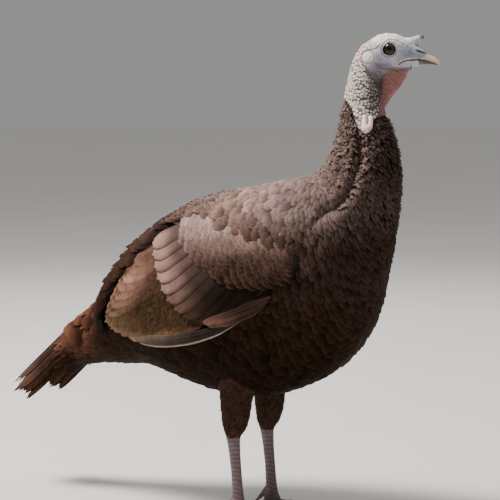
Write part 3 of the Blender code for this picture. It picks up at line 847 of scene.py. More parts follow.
# Leaves out what the wings hide, and parts the rest into named pieces.
def splitBody(roots):
    look = bodyCoat
    s, t, place = roots["s"], roots["t"], roots["place"]
    side = np.abs(place[:, 1])
    edgeX, edgeZ = zip(*look["scapularEdge"])
    hidden = readSurface(overWings, "wing", s, t) > look["underWing"]
    above = place[:, 2] > np.interp(place[:, 0], edgeX, edgeZ)
    shown = ~buried(s, t) | (above & (side > 0.01))
    bareFrom, bareTo = rumpLook["barePlanes"]
    shown &= ~((s > bareFrom) & (s < bareTo) & (np.cos(t) > math.cos(rumpLook["bareReach"])))
    shown &= ~((side < 0.075) & (place[:, 2] < 0.24) & hidden)
    over = (~hidden & ((s < 13.2) | ((s < 18) & (np.cos(t) > 0.2)))) | (hidden & above)
    onTrunk = shown & ~roots["onNeck"]
    onTop = np.cos(t) >= look["topTurn"]
    pieces = {
        "coat_neck": shown & roots["onNeck"],
        "coat_breast": onTrunk & ~onTop & (s < look["bellyFrom"]),
        "coat_mantle": onTrunk & onTop & (s < look["rumpFrom"]),
        "coat_belly": shown & ~onTop & (s >= look["bellyFrom"]) & (s < look["ventFrom"]),
        "coat_rump": shown & (s >= look["rumpFrom"]) & (onTop | (s >= look["ventFrom"])),
    }
    for name, mask in pieces.items():
        part = chosen(roots, mask)
        givePatches(part, unwrapped(part["s"], part["t"]))
        outer = over[mask][:, None, None]
        vane = neckVane if name == "coat_neck" else softVane
        upper, upperNormals = layOnSurface(overWings, vane, part)
        lower, lowerNormals = layOnSurface(underWings, vane, part)
        points = np.where(outer, upper, lower)
        normals = np.where(outer, upperNormals, lowerNormals)
        stampVanes(name, vane, points, normals, part, coatMaterial, "brown_feathers")


splitBody(bodyTract())


# The large rounded coverts that lie over the base of her tail.
def rumpCoverts():
    look = rumpLook
    s = np.concatenate([np.full(count, row, float) for row, count, reach in look["rows"]])
    t = np.concatenate([np.linspace(-reach, reach, count) for row, count, reach in look["rows"]])
    count = len(s)
    t = t + dice.normal(0, 0.05, count)
    s = s + dice.normal(0, 0.10, count)
    roots = {"s": s, "t": t, "length": look["length"] * dice.uniform(0.85, 1.1, count)}
    roots["half"] = look["half"] * dice.uniform(0.9, 1.1, count)
    fill(roots, sink=-0.0034, rise=0.0012 + 0.0034 * ramp(s, 18.9, 20.4), cup=0.08, thick=0.0006, flare=0.0,
         rimShade=0.25)
    roots["rise"] -= 0.0004 * np.maximum(s - 20.4, 0)
    roots["roll"] = np.where(t < 0, -0.08, 0.08) + dice.normal(0, 0.03, count)
    roots["skew"] = dice.normal(0, 0.05, count)
    tone = mixed(colourOf("rufous") * 0.6, colourOf("rufous") * (0.98, 0.98, 0.92), ramp(s, 19.2, 20.2))
    tone = mixed(tone, colourOf("rufous") * 0.5, 0.7 * ramp(np.abs(t), 0.8, 1.3))
    roots["dye"] = tone * dice.uniform(0.8, 1.12, (count, 1))
    roots["tipDye"], roots["tipShare"] = roots["dye"] * (1.5, 1.35, 1.25), np.full(count, 0.4)
    givePatches(roots, stripPatches(count))
    coverSurface("coat_rump_coverts", overWings, coverVane, roots, coatMaterial)


rumpCoverts()


throatLook = {"count": 620, "from": 5.75, "to": 10.2, "turn": 1.15, "length": (0.007, 0.013), "half": 0.0010}


# Dark, loose, bristly feathers with pale ends down the front of the throat.
def throatTract():
    look = throatLook
    count = look["count"]
    s = look["from"] + (look["to"] - look["from"]) * dice.uniform(0, 1, count) ** 1.2
    t = math.pi + np.clip(dice.normal(0, 0.5, count), -1, 1) * look["turn"] * (1 - 0.45 * ramp(s, 6.5, 9.5))
    keep = s > bareLine(t) - 0.05
    s, t = s[keep], t[keep]
    count = len(s)
    roots = {"s": s, "t": t, "length": dice.uniform(*look["length"], count)}
    roots["half"] = look["half"] * dice.uniform(0.6, 1.4, count)
    fill(roots, sink=-0.0010, rise=0.0026, cup=0.1, thick=0.0003, roll=0.0)
    roots["flare"] = dice.uniform(0.0, 0.0035, count)
    roots["skew"] = dice.normal(0, 0.22, count)
    roots["dye"] = colourOf("soot") * dice.uniform(0.7, 1.8, (count, 1))
    roots["tipDye"] = mixed("taupe", "buff", dice.uniform(0, 0.55, count))
    roots["tipShare"] = dice.uniform(0, 1, count) ** 2
    givePatches(roots, unwrapped(s, t))
    coverSurface("coat_throat", overWings, strapVane, roots, coatMaterial)


throatTract()


# The folded wings: coverts and flight feathers laid on the side of the CAD wing

wingLook = {
    "cell": 0.0025,
    "fieldLow": (-0.19, 0.225), "fieldHigh": (0.27, 0.49),  # x and z of the side that is measured
    "outside": -0.3,  # y from which it is measured
    "backOverlap": 0.012,  # how far under the scapular edge the back's side counts as wing
    "wrist": (0.232, 0.424),  # x and z that the coverts fan from
}


# How far out the wing's solid reaches over each x and z, on her right side.
def sideField():
    look = wingLook
    tree = treeOf("wing_right", "primaries_right")[0]
    back = treeOf("trunk", "neck_base")[0]
    edgeX, edgeZ = zip(*bodyCoat["scapularEdge"])
    cell, low, high = look["cell"], look["fieldLow"], look["fieldHigh"]
    xs, zs = np.arange(low[0], high[0], cell), np.arange(low[1], high[1], cell)
    out = np.full((len(xs), len(zs)), np.nan)
    for i, x in enumerate(xs):
        for k, z in enumerate(zs):
            start = Vector((x, look["outside"], z))
            hit = tree.ray_cast(start, Vector((0, 1, 0)))[0]
            if hit is None and z > np.interp(x, edgeX, edgeZ) - look["backOverlap"]:
                hit = back.ray_cast(start, Vector((0, 1, 0)))[0]
            if hit is not None:
                out[i, k] = -hit.y
    for again in range(40):  # the surface carries on past the wing's outline
        padded = np.pad(out, 1, mode="edge")
        windows = [padded[a:a + len(xs), b:b + len(zs)] for a in range(3) for b in range(3)]
        around = np.stack(windows)
        known = ~np.isnan(around)
        mean = np.where(known, around, 0).sum(0) / np.maximum(known.sum(0), 1)
        out = np.where(np.isnan(out) & (known.sum(0) > 0), mean, out)
    out = np.where(np.isnan(out), np.nanmean(out), out)
    for again in range(4):
        padded = np.pad(out, 1, mode="edge")
        beside = padded[:-2, 1:-1] + padded[2:, 1:-1] + padded[1:-1, :-2] + padded[1:-1, 2:]
        out = 0.5 * out + 0.125 * beside
    slopeX, slopeZ = np.gradient(out, cell)
    return {"low": low, "cell": cell, "data": np.stack([out, slopeX, slopeZ], -1)}


def readField(field, x, z):
    data = field["data"]
    i = np.clip((x - field["low"][0]) / field["cell"], 0, data.shape[0] - 1.001)
    k = np.clip((z - field["low"][1]) / field["cell"], 0, data.shape[1] - 1.001)
    i0, k0 = i.astype(int), k.astype(int)
    shareX, shareZ = (i - i0)[..., None], (k - k0)[..., None]
    near = data[i0, k0] * (1 - shareZ) + data[i0, k0 + 1] * shareZ
    far = data[i0 + 1, k0] * (1 - shareZ) + data[i0 + 1, k0 + 1] * shareZ
    return near * (1 - shareX) + far * shareX


# Lays vanes on one side of her, each from its root to its tip as x and z.
def layOnSide(field, shape, roots, side):
    root, tip = roots["root"], roots["tip"]
    way = tip - root
    length = np.linalg.norm(way, axis=1, keepdims=True)
    way = way / length
    across = np.stack([way[:, 1], -way[:, 0]], 1)
    v = shape["v"] + raggedEnds(shape, roots)
    bow = roots["bow"][:, None] * 4 * v * (1 - v) * length
    off = shape["u"] * roots["half"][:, None] + bow
    place = root[:, None] + way[:, None] * (v * length)[..., None] + across[:, None] * off[..., None]
    read = readField(field, place[..., 0], place[..., 1])
    normals = np.stack([-read[..., 1], np.ones(read.shape[:-1]), -read[..., 2]], -1)
    normals = normals / np.linalg.norm(normals, axis=-1, keepdims=True)
    points = np.stack([place[..., 0], read[..., 0], place[..., 1]], -1)
    points = points + normals * vaneHeights(shape, roots)[..., None]
    return points * (1, side, 1), normals * (1, side, 1)


def alongLine(line, share):
    line = np.array(line, float)
    lengths = np.concatenate([[0], np.cumsum(np.linalg.norm(np.diff(line, axis=0), axis=1))])
    at = np.asarray(share) * lengths[-1]
    return np.stack([np.interp(at, lengths, line[:, k]) for k in range(2)], -1)


def lineLength(line):
    return float(np.linalg.norm(np.diff(np.array(line), axis=0), axis=1).sum())


# Lengths, dyes and room on the bake map for feathers of a wing.
def finishRoots(roots, tone, tipColour, tipShare, patches):
    count = len(roots["half"])
    roots["length"] = np.linalg.norm(roots["tip"] - roots["root"], axis=1)
    roots["dye"] = tone * dice.uniform(0.88, 1.14, (count, 1)) * (1 + dice.normal(0, 0.02, (count, 3)))
    roots["tipDye"] = mixed(roots["dye"] * 1.45, tipColour, 0.35)
    roots["tipShare"] = np.full(count, tipShare)
    givePatches(roots, patches)


def stampOnSide(kind, side, shape, roots, material, *replaced):
    label = sides[side]
    points, normals = layOnSide(wingField, shape, roots, side)
    nodes = [node + "_" + label for node in replaced]
    stampVanes("wing_" + kind + "_" + label, shape, points, normals, roots, material, "wing_feathers", nodes)


shieldLook = {
    # rear and lower edge of the small coverts, from the back round to the breast
    "edge": [(0.012, 0.440), (0.015, 0.432), (0.026, 0.413), (0.040, 0.396), (0.053, 0.387), (0.067, 0.378),
             (0.084, 0.367), (0.100, 0.358), (0.122, 0.352), (0.150, 0.350), (0.180, 0.352), (0.205, 0.362)],
    "rowStep": 0.042,  # share of the way from wrist to edge between rows
    "lastRow": 0.20,
    "spacing": (0.0064, 0.0094),  # between feathers at the wrist, and how much more at the edge
    "sweepFrom": 0.05, "sweepTo": 0.18,  # x between which they turn to lie along the wing
    "sweepWay": (-1.0, -0.28),
    "shortest": 0.011,
    "foremost": 0.224,  # x that no root lies ahead of
    "lay": {"sink": -0.0032, "rise": 0.0006, "cup": 0.05, "thick": 0.0004, "roll": -0.05, "bow": 0.0,
            "flare": 0.0004},
}


# Rows of small coverts that fan from the wrist, the last one scalloped over the greater coverts.
def shieldRoots():
    look = shieldLook
    wrist = np.array(wingLook["wrist"])
    tips, roots, halves = [], [], []
    for k, share in enumerate(np.arange(1, look["lastRow"], -look["rowStep"])):
        spacing = look["spacing"][0] + look["spacing"][1] * share ** 2
        count = max(5, round(lineLength(look["edge"]) * share / spacing))
        q = (np.arange(count) + 0.5 * (k % 2) + dice.uniform(-0.12, 0.12, count)) / (count - 0.5)
        reach = share + dice.normal(0, 0.008, count)
        at = alongLine(look["edge"], np.clip(q, 0, 1))
        tip = wrist + (at - wrist) * reach[:, None]
        far = np.linalg.norm(at - wrist, axis=1)
        sweep = 0.8 * ramp(at[:, 0], look["sweepFrom"], look["sweepTo"])
        way = (at - wrist) / far[:, None] * (1 - sweep)[:, None] + np.array(look["sweepWay"]) * sweep[:, None]
        way = way / np.linalg.norm(way, axis=1)[:, None]
        length = np.maximum(3.2 * look["rowStep"] * far, look["shortest"]) * (1 + 0.9 * sweep)
        root = tip - way * (length * dice.uniform(0.85, 1.15, count))[:, None]
        back = np.maximum(0, root[:, 0] - look["foremost"])[:, None] * (1, 0)
        tips.append(tip - back)
        roots.append(root - back)
        halves.append(0.92 * spacing * dice.uniform(0.9, 1.1, count))
    return {"root": np.concatenate(roots), "tip": np.concatenate(tips), "half": np.concatenate(halves)}


# Small and median coverts: paler above, partly their own tone and partly a painted sheen; darker below and
# forward, partly their own tone and partly painted shade.
def shieldCoverts(side):
    roots = shieldRoots()
    count = len(roots["half"])
    fill(roots, **shieldLook["lay"])
    roots["rise"] += dice.uniform(-0.0004, 0.0007, count)
    roots["roll"] += dice.normal(0, 0.03, count)
    x, z = roots["tip"][:, 0], roots["tip"][:, 1]
    # paler above: partly their own tone, partly a painted sheen
    tone = mixed("cocoa", colourOf("taupe") * (1.35, 1.42, 1.52), 0.75 * ramp(z, 0.37, 0.44))
    # darker below and forward: partly their own tone, partly painted shade
    tone = mixed(tone, "umber", 0.92 * ramp(x, 0.02, 0.12) * (1 - ramp(z, 0.35, 0.42)))
    finishRoots(roots, tone, "taupe", 0.35, spreadPatches(roots["root"]))
    stampOnSide("shield", side, softVane, roots, coverMaterial, "wing")


greaterLook = {
    "count": 12, "half": 0.0160,
    "tips": [(-0.030, 0.402), (-0.022, 0.388), (-0.008, 0.360), (0.006, 0.334), (0.021, 0.316),
             (0.036, 0.302), (0.056, 0.294), (0.080, 0.293), (0.105, 0.300), (0.130, 0.311)],
    "roots": [(0.040, 0.446), (0.052, 0.436), (0.075, 0.420), (0.100, 0.402), (0.122, 0.385), (0.145, 0.370),
              (0.165, 0.358), (0.180, 0.352), (0.192, 0.350), (0.200, 0.350)],
    "lay": {"sink": -0.0045, "rise": -0.0006, "cup": 0.05, "thick": 0.0006, "roll": -0.13, "bow": -0.035,
            "rimShade": 0.45},
}


# Greater coverts, plum above and dark below: partly their own tone, partly painted shade on the wing's lower
# part.
def greaterCoverts(side):
    look = greaterLook
    count = look["count"]
    q = (np.arange(count) + 0.3) / count
    roots = {"root": alongLine(look["roots"], q), "tip": alongLine(look["tips"], q)}
    roots["half"] = np.full(count, look["half"])
    fill(roots, **look["lay"])
    tone = mixed(colourOf("plum") * 1.55, "umber", ramp(q, 0.22, 0.66))
    finishRoots(roots, tone, "tan", 0.3, stripPatches(count))
    # darker tips on the lower ones: partly their own tone, partly painted shade
    roots["tipDye"] *= (1 - 0.35 * ramp(q, 0.15, 0.55))[:, None]
    stampOnSide("greater", side, bladeVane, roots, coverMaterial)


flightLook = {
    "count": 15, "tone": (0.124, 0.070, 0.038),
    "tips": [(-0.062, 0.370), (-0.0844, 0.3417), (-0.1055, 0.3105), (-0.1197, 0.2870), (-0.1221, 0.2744),
             (-0.1060, 0.2650), (-0.0851, 0.2606), (-0.0593, 0.2608), (-0.0354, 0.2635), (-0.0135, 0.2670)],
    "roots": [(0.066, 0.455), (0.0659, 0.4427), (0.0606, 0.4238), (0.0553, 0.4049), (0.0552, 0.3861),
              (0.0590, 0.3674), (0.0640, 0.3511), (0.0720, 0.3361), (0.0820, 0.3236), (0.0950, 0.3125)],
    "halves": ((0, 0.3, 1), (0.020, 0.019, 0.015)),  # by share of the way down the fan
    "lay": {"sink": -0.0056, "rise": -0.0020, "cup": 0.05, "thick": 0.0007, "roll": -0.10, "bow": -0.03,
            "rimShade": 0.2},
    "sinkMore": 0.0022, "riseLess": 0.0016,  # at the outer end, so that the inner ones lie on top
}


def flightFeathers(side):
    look = flightLook
    count = look["count"]
    q = np.arange(count) / (count - 1)
    roots = {"root": alongLine(look["roots"], q), "tip": alongLine(look["tips"], q)}
    roots["half"] = np.interp(q, *look["halves"])
    fill(roots, **look["lay"])
    roots["sink"] -= look["sinkMore"] * q
    roots["rise"] -= look["riseLess"] * q
    tone = mixed(colourOf("plum") * (1.45, 1.2, 1.05), look["tone"], ramp(q, 0.10, 0.60))
    tone = mixed(colourOf("cocoa") * 1.3, tone, ramp(q, 0.02, 0.12))
    finishRoots(roots, tone, "buff", 0.3, stripPatches(count))
    stampOnSide("flight", side, bladeVane, roots, flightMaterial)


strandLook = {
    "count": 2000, "tone": (0.200, 0.118, 0.062),
    "turn": 0.95, "wander": 0.20,  # radians below level, and how much that varies
    "length": (0.009, 0.024), "half": (0.00012, 0.00026),
    "low": (-0.118, 0.262), "high": (0.030, 0.372),  # x and z of the box they lie in
    "centre": (0.020, 0.350),  # of the fan whose tips they stay inside
    "inside": 0.98,
    "lay": {"cup": 0.0, "thick": 0.00020, "roll": 0.0, "bow": 0.0, "flare": 0.0003},
}


# How far out each place lies between the fan's centre and its tips: 1 on the line of tips.
def fanShare(places, centre, tips):
    arms = np.array(tips) - centre
    bearing = np.unwrap(np.arctan2(arms[:, 1], arms[:, 0]) % math.tau)
    reach = np.linalg.norm(arms, axis=1)
    arm = places - np.array(centre)
    turn = np.arctan2(arm[:, 1], arm[:, 0]) % math.tau
    order = np.argsort(bearing)
    limit = np.interp(turn, bearing[order], reach[order], left=reach[order][0], right=0)
    return np.linalg.norm(arm, axis=1) / np.maximum(limit, 0.001)


# Loose golden strands over the lower flight feathers.
def looseStrands(side):
    look = strandLook
    count = look["count"]
    centre = dice.uniform(look["low"], look["high"], (count, 2))
    turn = look["turn"] + dice.normal(0, look["wander"], count)
    length = dice.uniform(*look["length"], count)
    way = np.stack([-np.cos(turn), -np.sin(turn)], 1) * length[:, None]
    share = fanShare(centre + way / 2, look["centre"], flightLook["tips"])
    keep = share < look["inside"]
    centre, way, share = centre[keep], way[keep], share[keep]
    count = len(centre)
    roots = {"root": centre - way / 2, "tip": centre + way / 2, "half": dice.uniform(*look["half"], count)}
    fill(roots, sink=-0.0042 + 0.0022 * share, rise=-0.0028 + 0.0020 * share, **look["lay"])
    tone = mixed(flightLook["tone"], look["tone"], dice.uniform(0, 1, count) ** 1.5)
    finishRoots(roots, tone, "buff", 0.2, spreadPatches(centre))
    stampOnSide("strands", side, strapVane, roots, coatMaterial)


primaryLook = {
    # x and z of each root, then of its tip: three coverts and four primaries under them
    "rows": [(0.190, 0.334, 0.082, 0.291), (0.186, 0.328, 0.092, 0.288), (0.182, 0.323, 0.108, 0.291),
             (0.166, 0.316, -0.030, 0.264), (0.160, 0.311, -0.054, 0.2612), (0.156, 0.307, -0.050, 0.2585),
             (0.150, 0.303, -0.044, 0.2560)],
    "coverts": 3, "covertHalf": 0.0062, "half": 0.0058,
    "lay": {"cup": 0.14, "thick": 0.0007, "roll": 0.0},
    "paleBelow": 0.257,  # height of a tip under which a primary's outer edge is pale
}


# Primaries and their coverts along the wing's lower edge.
def primaries(side):
    look = primaryLook
    rows = np.array(look["rows"])
    count = len(rows)
    order = np.arange(count)
    cover = order < look["coverts"]
    half = np.where(cover, look["covertHalf"], look["half"])
    roots = {"root": rows[:, :2], "tip": rows[:, 2:], "half": half}
    fill(roots, **look["lay"])
    roots["bow"] = np.where(cover, -0.03, -0.080)
    roots["paleEdge"] = np.where(cover, 0.05, 0.62 * (rows[:, 3] < look["paleBelow"]))
    roots["sink"] = np.where(cover, 0.0008, -0.0012 - 0.0006 * order)
    roots["rise"] = np.where(cover, 0.0022, 0.0006 - 0.0006 * order)
    tone = np.where(cover[:, None], mixed("rufous", "cocoa", 0.7), colourOf("slate"))
    finishRoots(roots, tone * 0.8, "tan", 0.25, stripPatches(count))
    stampOnSide("primaries", side, bladeVane, roots, coverMaterial, "primaries")


wingField = sideField()
for side in (-1, 1):
    shieldCoverts(side)
    greaterCoverts(side)
    flightFeathers(side)
    looseStrands(side)
    primaries(side)
print("wings laid")


# The tail: eighteen long blades over the CAD tail's roof

tailLook = {
    # ridge x and z, and how far under it the middle of the roof lies
    "stations": [(-0.2250, 0.2750), (-0.2577, 0.2475), (-0.3130, 0.2005), (-0.3683, 0.1535)],
    "under": 0.030,
    "down": (0.94, -1.105),  # x and z of the way in from the roof
    "feathers": 18,
    "length": 0.166, "shorter": 0.034,  # of the middle blades, and how much is lost towards the outer ones
    "edge": math.radians(114),  # how far round the roof the last blade's middle lies
    "half": 0.0098,
}


def tailSurface():
    downX, downZ = tailLook["down"]
    down = np.array([downX, 0, downZ]) / math.hypot(downX, downZ)
    stations = []
    for x, z in throughRows(tailLook["stations"], 8):
        stations.append((np.array([x, 0, z]) + down * tailLook["under"], -down, np.array([0, -1.0, 0])))
    return wrapSurface(stations, *treeOf("tail", "tail_coverts"), 8, 1)


def tail():
    look = tailLook
    surface = tailSurface()
    count = look["feathers"]
    spread = (np.arange(count) + 0.5) / count * 2 - 1
    order = np.abs(spread)
    roots = {"s": np.full(count, 0.35), "t": np.mod(spread * look["edge"], math.tau)}
    length = look["length"] - look["shorter"] * np.maximum(0, order - 0.25)
    roots["length"] = length * dice.uniform(0.90, 1.03, count)
    roots["half"] = look["half"] * dice.uniform(0.85, 1.15, count)
    fill(roots, cup=0.10, thick=0.0007, rimShade=0.8)
    roots["sink"] = -0.0006 - 0.0026 * order
    roots["rise"] = -0.0034 * order + dice.uniform(-0.0006, 0.0006, count)
    roots["skew"] = 0.03 * spread + dice.normal(0, 0.012, count)
    roots["roll"] = np.where(spread < 0, -0.22, 0.22)
    tone = mixed(colourOf("plum") * (0.95, 0.85, 0.80), colourOf("umber") * 1.8, ramp(order, 0.25, 0.9))
    roots["dye"] = tone * dice.uniform(0.65, 1.15, (count, 1))
    roots["tipDye"] = np.broadcast_to(colourOf("soot") * 1.5, (count, 3)).copy()
    roots["tipShare"] = np.full(count, 0.85)
    givePatches(roots, stripPatches(count))
    coverSurface("tail_vanes", surface, tailVane, roots, tailMaterial, "tail_feathers", ["tail"])


tail()
print("tail laid")


# The skin: bare on head and neck, and hidden under the coat below

headLook = {
    "yaw": math.radians(22),
    "eye": (0.0325, 0.0138, 0.6729),  # forward of the neck's axis, out to the side, height
    "lidRidge": 0.0094,
    "ear": (0.0034, 0.6622),
    # along the planes from crown to shoulder: size of a bead, and how far round from the nape beads reach
    "beadPlanes": (0, 1.9, 2.7, 3.6, 5, 8),
    "beadSize": (0.0032, 0.0035, 0.0038, 0.0042, 0.0050, 0.0058),
    "beadReach": (0.95, 1.10, 1.85, 2.50, 2.70, 2.60),
    "beadsFrom": 0.2, "beadsTo": 7.9, "beadRow": 0.80,  # planes, and the step between rows in bead sizes
    "earClear": 0.0100,  # how near the ear's middle beads come
    # how high or deep each form of the head is worked
    "relief": {"socket": 0.0050, "lid": 0.0015, "lidFold": 0.0006, "lidCrease": 0.0007, "brow": 0.0009,
               "browCrease": 0.0006, "jawCrease": 0.0007, "lip": 0.0007, "mouthSlit": 0.0016,
               "nostrilLid": 0.0008, "nostril": 0.0022, "ear": 0.0007, "earCrease": 0.0006,
               "throatWaves": 0.00030, "cheekFolds": 0.00020, "warts": 0.00055, "snoodRings": 0.00035,
               "wattleGrain": 0.00038, "wattleLumps": 0.0004},
    "voxel": 0.00086,
    "bodyVoxel": 0.005,
    "coatDepth": 0.0045,
    "wingShrink": (0.82, 1.0, 0.74),
    # forward and height of lines on the head
    "mouth": [(0.0450, 0.6520), (0.0490, 0.6552), (0.0570, 0.6582), (0.0680, 0.6585), (0.0780, 0.6578)],
    "browFold": [(0.0050, 0.6722), (0.0140, 0.6740), (0.0215, 0.6802), (0.0320, 0.6862), (0.0440, 0.6850),
                 (0.0530, 0.6785)],
    "jawFold": [(0.0120, 0.6560), (0.0200, 0.6480), (0.0320, 0.6455), (0.0450, 0.6490)],
    # where skin gives way to horn: a place on the border and the way across it
    "upperHorn": ((0.0830, 0.6680), (0.507, -0.862)),
    "lowerHorn": ((0.0720, 0.6550), (1.0, 0.0)),
    "nostril": (0.0752, 0.6694), "nostrilSize": (0.0060, 0.0013),
    # the lobe that hangs at each side of her neck: x, y, z and radius along it
    "lobe": [(0.2868, -0.0290, 0.5790, 0.0032), (0.2866, -0.0306, 0.5712, 0.0036),
             (0.2870, -0.0322, 0.5630, 0.0050), (0.2905, -0.0320, 0.5600, 0.0056),
             (0.2950, -0.0305, 0.5628, 0.0046), (0.2984, -0.0282, 0.5700, 0.0036),
             (0.2992, -0.0268, 0.5780, 0.0034)],
    # the snood's balls: forward, height, radius
    "snood": [(0.0545, 0.6820, 0.0078), (0.0590, 0.6822, 0.0074), (0.0632, 0.6836, 0.0068),
              (0.0672, 0.6855, 0.0062), (0.0710, 0.6876, 0.0054), (0.0740, 0.6892, 0.0044)],
    # patches of painted light and shade on the skin: middle, reach, and share added to each colour
    "paintedLightAndShade": [((0.0310, 0.6585), (0.0120, 0.0050), (0.44, 0.40, 0.50)),
              ((0.0573, 0.6673), (0.0100, 0.0060), (-0.40, -0.36, -0.22)),
              ((0.0530, 0.6800), (0.0080, 0.0040), (-0.32, -0.29, -0.20)),
              ((0.0213, 0.6489), (0.0120, 0.0050), (-0.38, -0.44, -0.34)),
              ((0.0480, 0.6430), (0.0190, 0.0055), (-0.62, -0.62, -0.66)),
              ((0.0130, 0.6130), (0.0100, 0.0230), (-0.60, -0.64, -0.63)),
              ((-0.0060, 0.6130), (0.0120, 0.0150), (-0.24, -0.24, -0.18))],
    "leftLobeBack": 0.010,  # how much further back her left lobe hangs
    # heights down the flap under the jaw, and how far forward its front and back edges are
    "wattleFront": ((0.593, 0.601, 0.612, 0.623, 0.634, 0.646), (0.028, 0.033, 0.041, 0.050, 0.057, 0.066)),
    "wattleBack": ((0.593, 0.625, 0.640, 0.650), (0.017, 0.019, 0.026, 0.045)),
    # lumps that fill the floor of the mouth and the web behind it: forward, height, radius, stretch
    "mouthFloor": [(0.0655, 0.6530, 0.0090, (1.25, 0.72, 0.46)),
                   (0.0640, 0.6583, 0.0060, (1.60, 1.45, 0.30))],
    "jawWeb": (0.0500, 0.6470, 0.0100, (1.35, 0.36, 0.50)),
    "throatCut": 0.552,  # height above which the neck is fused with the head
    "wingMiddle": (-0.035, 0, -0.355),  # what the hidden wings shrink towards, negated
}


def headPoint(forward, out, z):
    c, s = math.cos(headLook["yaw"]), math.sin(headLook["yaw"])
    return Vector((bodyLine["neckAxis"] + forward * c - out * s, forward * s + out * c, z))


# Forward of the neck's axis, out to her left, and height, with the head's turn undone.
def headPlace(points):
    c, s = math.cos(headLook["yaw"]), math.sin(headLook["yaw"])
    x, y = points[..., 0] - bodyLine["neckAxis"], points[..., 1]
    return x * c + y * s, y * c - x * s, points[..., 2]


# Span and angle of the nearest places on the wrapped body.
def bodyPlaces(points):
    grid = overWings["points"]
    columns = grid.shape[1]
    tree = pointTree(grid.reshape(-1, 3))
    nearest = np.array([tree.find(point)[1] for point in points])
    return nearest // columns / bodyLine["perSpan"], nearest % columns / columns * math.tau


# Fleshy beads in loose rows down the nape and the sides of the neck: middles, tops and radii.
def beadPlaces():
    planes = headLook["beadPlanes"]
    placed, tops, sizes = [], [], []
    s = headLook["beadsFrom"]
    while s < headLook["beadsTo"]:
        size = np.interp(s, planes, headLook["beadSize"])
        reach = np.interp(s, planes, headLook["beadReach"])
        t = -reach + dice.uniform(0, 0.15)
        while t < reach:
            at = readSurface(overWings, "points", np.array(s + dice.normal(0, 0.07)), np.array(t))
            normal = readSurface(overWings, "normals", np.array(s), np.array(t))
            forward, aside, z = headPlace(at)
            ear = math.hypot(forward - headLook["ear"][0], z - headLook["ear"][1])
            frontal = ramp(forward, -0.004, 0.012)  # smaller, flatter beads towards the throat
            radius = size * dice.uniform(0.42, 0.58) * (1 - 0.15 * frontal)
            if ear > headLook["earClear"] and s < bareLine(t) - 0.05 and inWattle(forward, z) < 0.05:
                placed.append(at - normal * radius * (0.36 + 0.20 * frontal))
                tops.append(at + normal * radius * 0.50)
                sizes.append(radius)
            step = size * dice.uniform(0.84, 1.12) * (1 - 0.12 * frontal)
            t += step / float(readSurface(overWings, "roundScale", np.array(s), np.array(t)))
        row = size * headLook["beadRow"]
        s += row / float(readSurface(overWings, "downScale", np.array(s), np.array(1.2)))
    return np.array(placed), np.array(tops), np.array(sizes)


def addBall(bm, at, radius, stretch=(1, 1, 1), turn=0.0):
    ball = bmesh.ops.create_icosphere(bm, subdivisions=2, radius=radius)["verts"]
    bmesh.ops.scale(bm, vec=stretch, verts=ball)
    bmesh.ops.rotate(bm, matrix=Matrix.Rotation(turn, 3, "Z"), verts=ball)
    bmesh.ops.translate(bm, vec=at, verts=ball)


# The hanging lobes' balls, each set into the neck's surface by a part of its radius.
def lobeBalls():
    right = np.array(headLook["lobe"])
    left = right * (1, -1, 1, 1) - (headLook["leftLobeBack"], 0, 0, 0)
    balls = []
    for line in (right, left):
        s, t = bodyPlaces(line[:, :3])
        out = readSurface(overWings, "normals", s, t) * (0.50 * line[:, 3] - 0.0004)[:, None]
        line[:, :3] = readSurface(overWings, "points", s, t) + out
        for again in range(2):
            line[1:-1, :3] = 0.5 * line[1:-1, :3] + 0.25 * (line[2:, :3] + line[:-2, :3])
        balls.append(throughRows(line, 8))
    balls = np.concatenate(balls)
    return balls[:, :3], balls[:, 3]


# The fleshy lumps that stand on the CAD head: beads, lobes, snood, and the webs under the jaw.
def addLumps(bm, beads, sizes, lobes, lobeSizes):
    for at, radius in zip(beads, sizes):
        addBall(bm, Vector(at), radius, (1.12, 1.12, dice.uniform(0.72, 0.95)))
    for at, radius in zip(lobes, lobeSizes):
        addBall(bm, Vector(at), radius)
    for forward, z, radius, stretch in headLook["mouthFloor"]:
        addBall(bm, headPoint(forward, 0, z), radius, stretch, headLook["yaw"])
    for forward, z, radius in headLook["snood"]:
        addBall(bm, headPoint(forward, 0, z), radius)
    forward, z, radius, stretch = headLook["jawWeb"]
    addBall(bm, headPoint(forward, 0, z), radius, stretch, headLook["yaw"])


# The base of a bill half, swollen a little so that it joins the skin, cut where its horn begins.
def billBase(node, border):
    (forward, z), (wayForward, wayZ) = border
    bm = mergedCopy(node)
    bm.normal_update()
    for vert in bm.verts:
        vert.co += vert.normal * 0.00045
    cutBeyond(bm, headPoint(forward, 0, z), headPoint(wayForward, 0, wayZ) - headPoint(0, 0, 0))
    return bm


def nearLine(a, z, line):
    return distanceToLine(np.stack([a, z], -1), np.array(line))[0]


# A slit that slants down to the front, in each side of the bill's base.
def nostril(a, b, z):
    (middleA, middleZ), size = headLook["nostril"], headLook["nostrilSize"]
    drop = z - middleZ + 0.34 * (a - middleA)
    slit = blot(a, drop, (middleA, 0), size) * ramp(np.abs(b), 0.002, 0.004)
    lid = ridge(a, middleA, size[0]) * ridge(drop, 0.0026, 0.0011) * ramp(np.abs(b), 0.001, 0.003)
    return slit, lid


# How near each point lies to a bead: 0 at its middle, 1 at its rim.
def beadShare(points, beads, sizes):
    tree = pointTree(beads)
    found = [tree.find(point)[1:] for point in points]
    return np.array([distance / sizes[k] for k, distance in found])


def eyeDistance(a, z):
    return np.hypot(a - headLook["eye"][0], (z - headLook["eye"][2]) * 1.06)


def earDistance(a, z):
    return np.hypot((a - headLook["ear"][0]) * 0.92, z - headLook["ear"][1])


def onSnood(a, z):
    return ramp(a + z, 0.744, 0.750) * ramp(z, 0.676, 0.682)


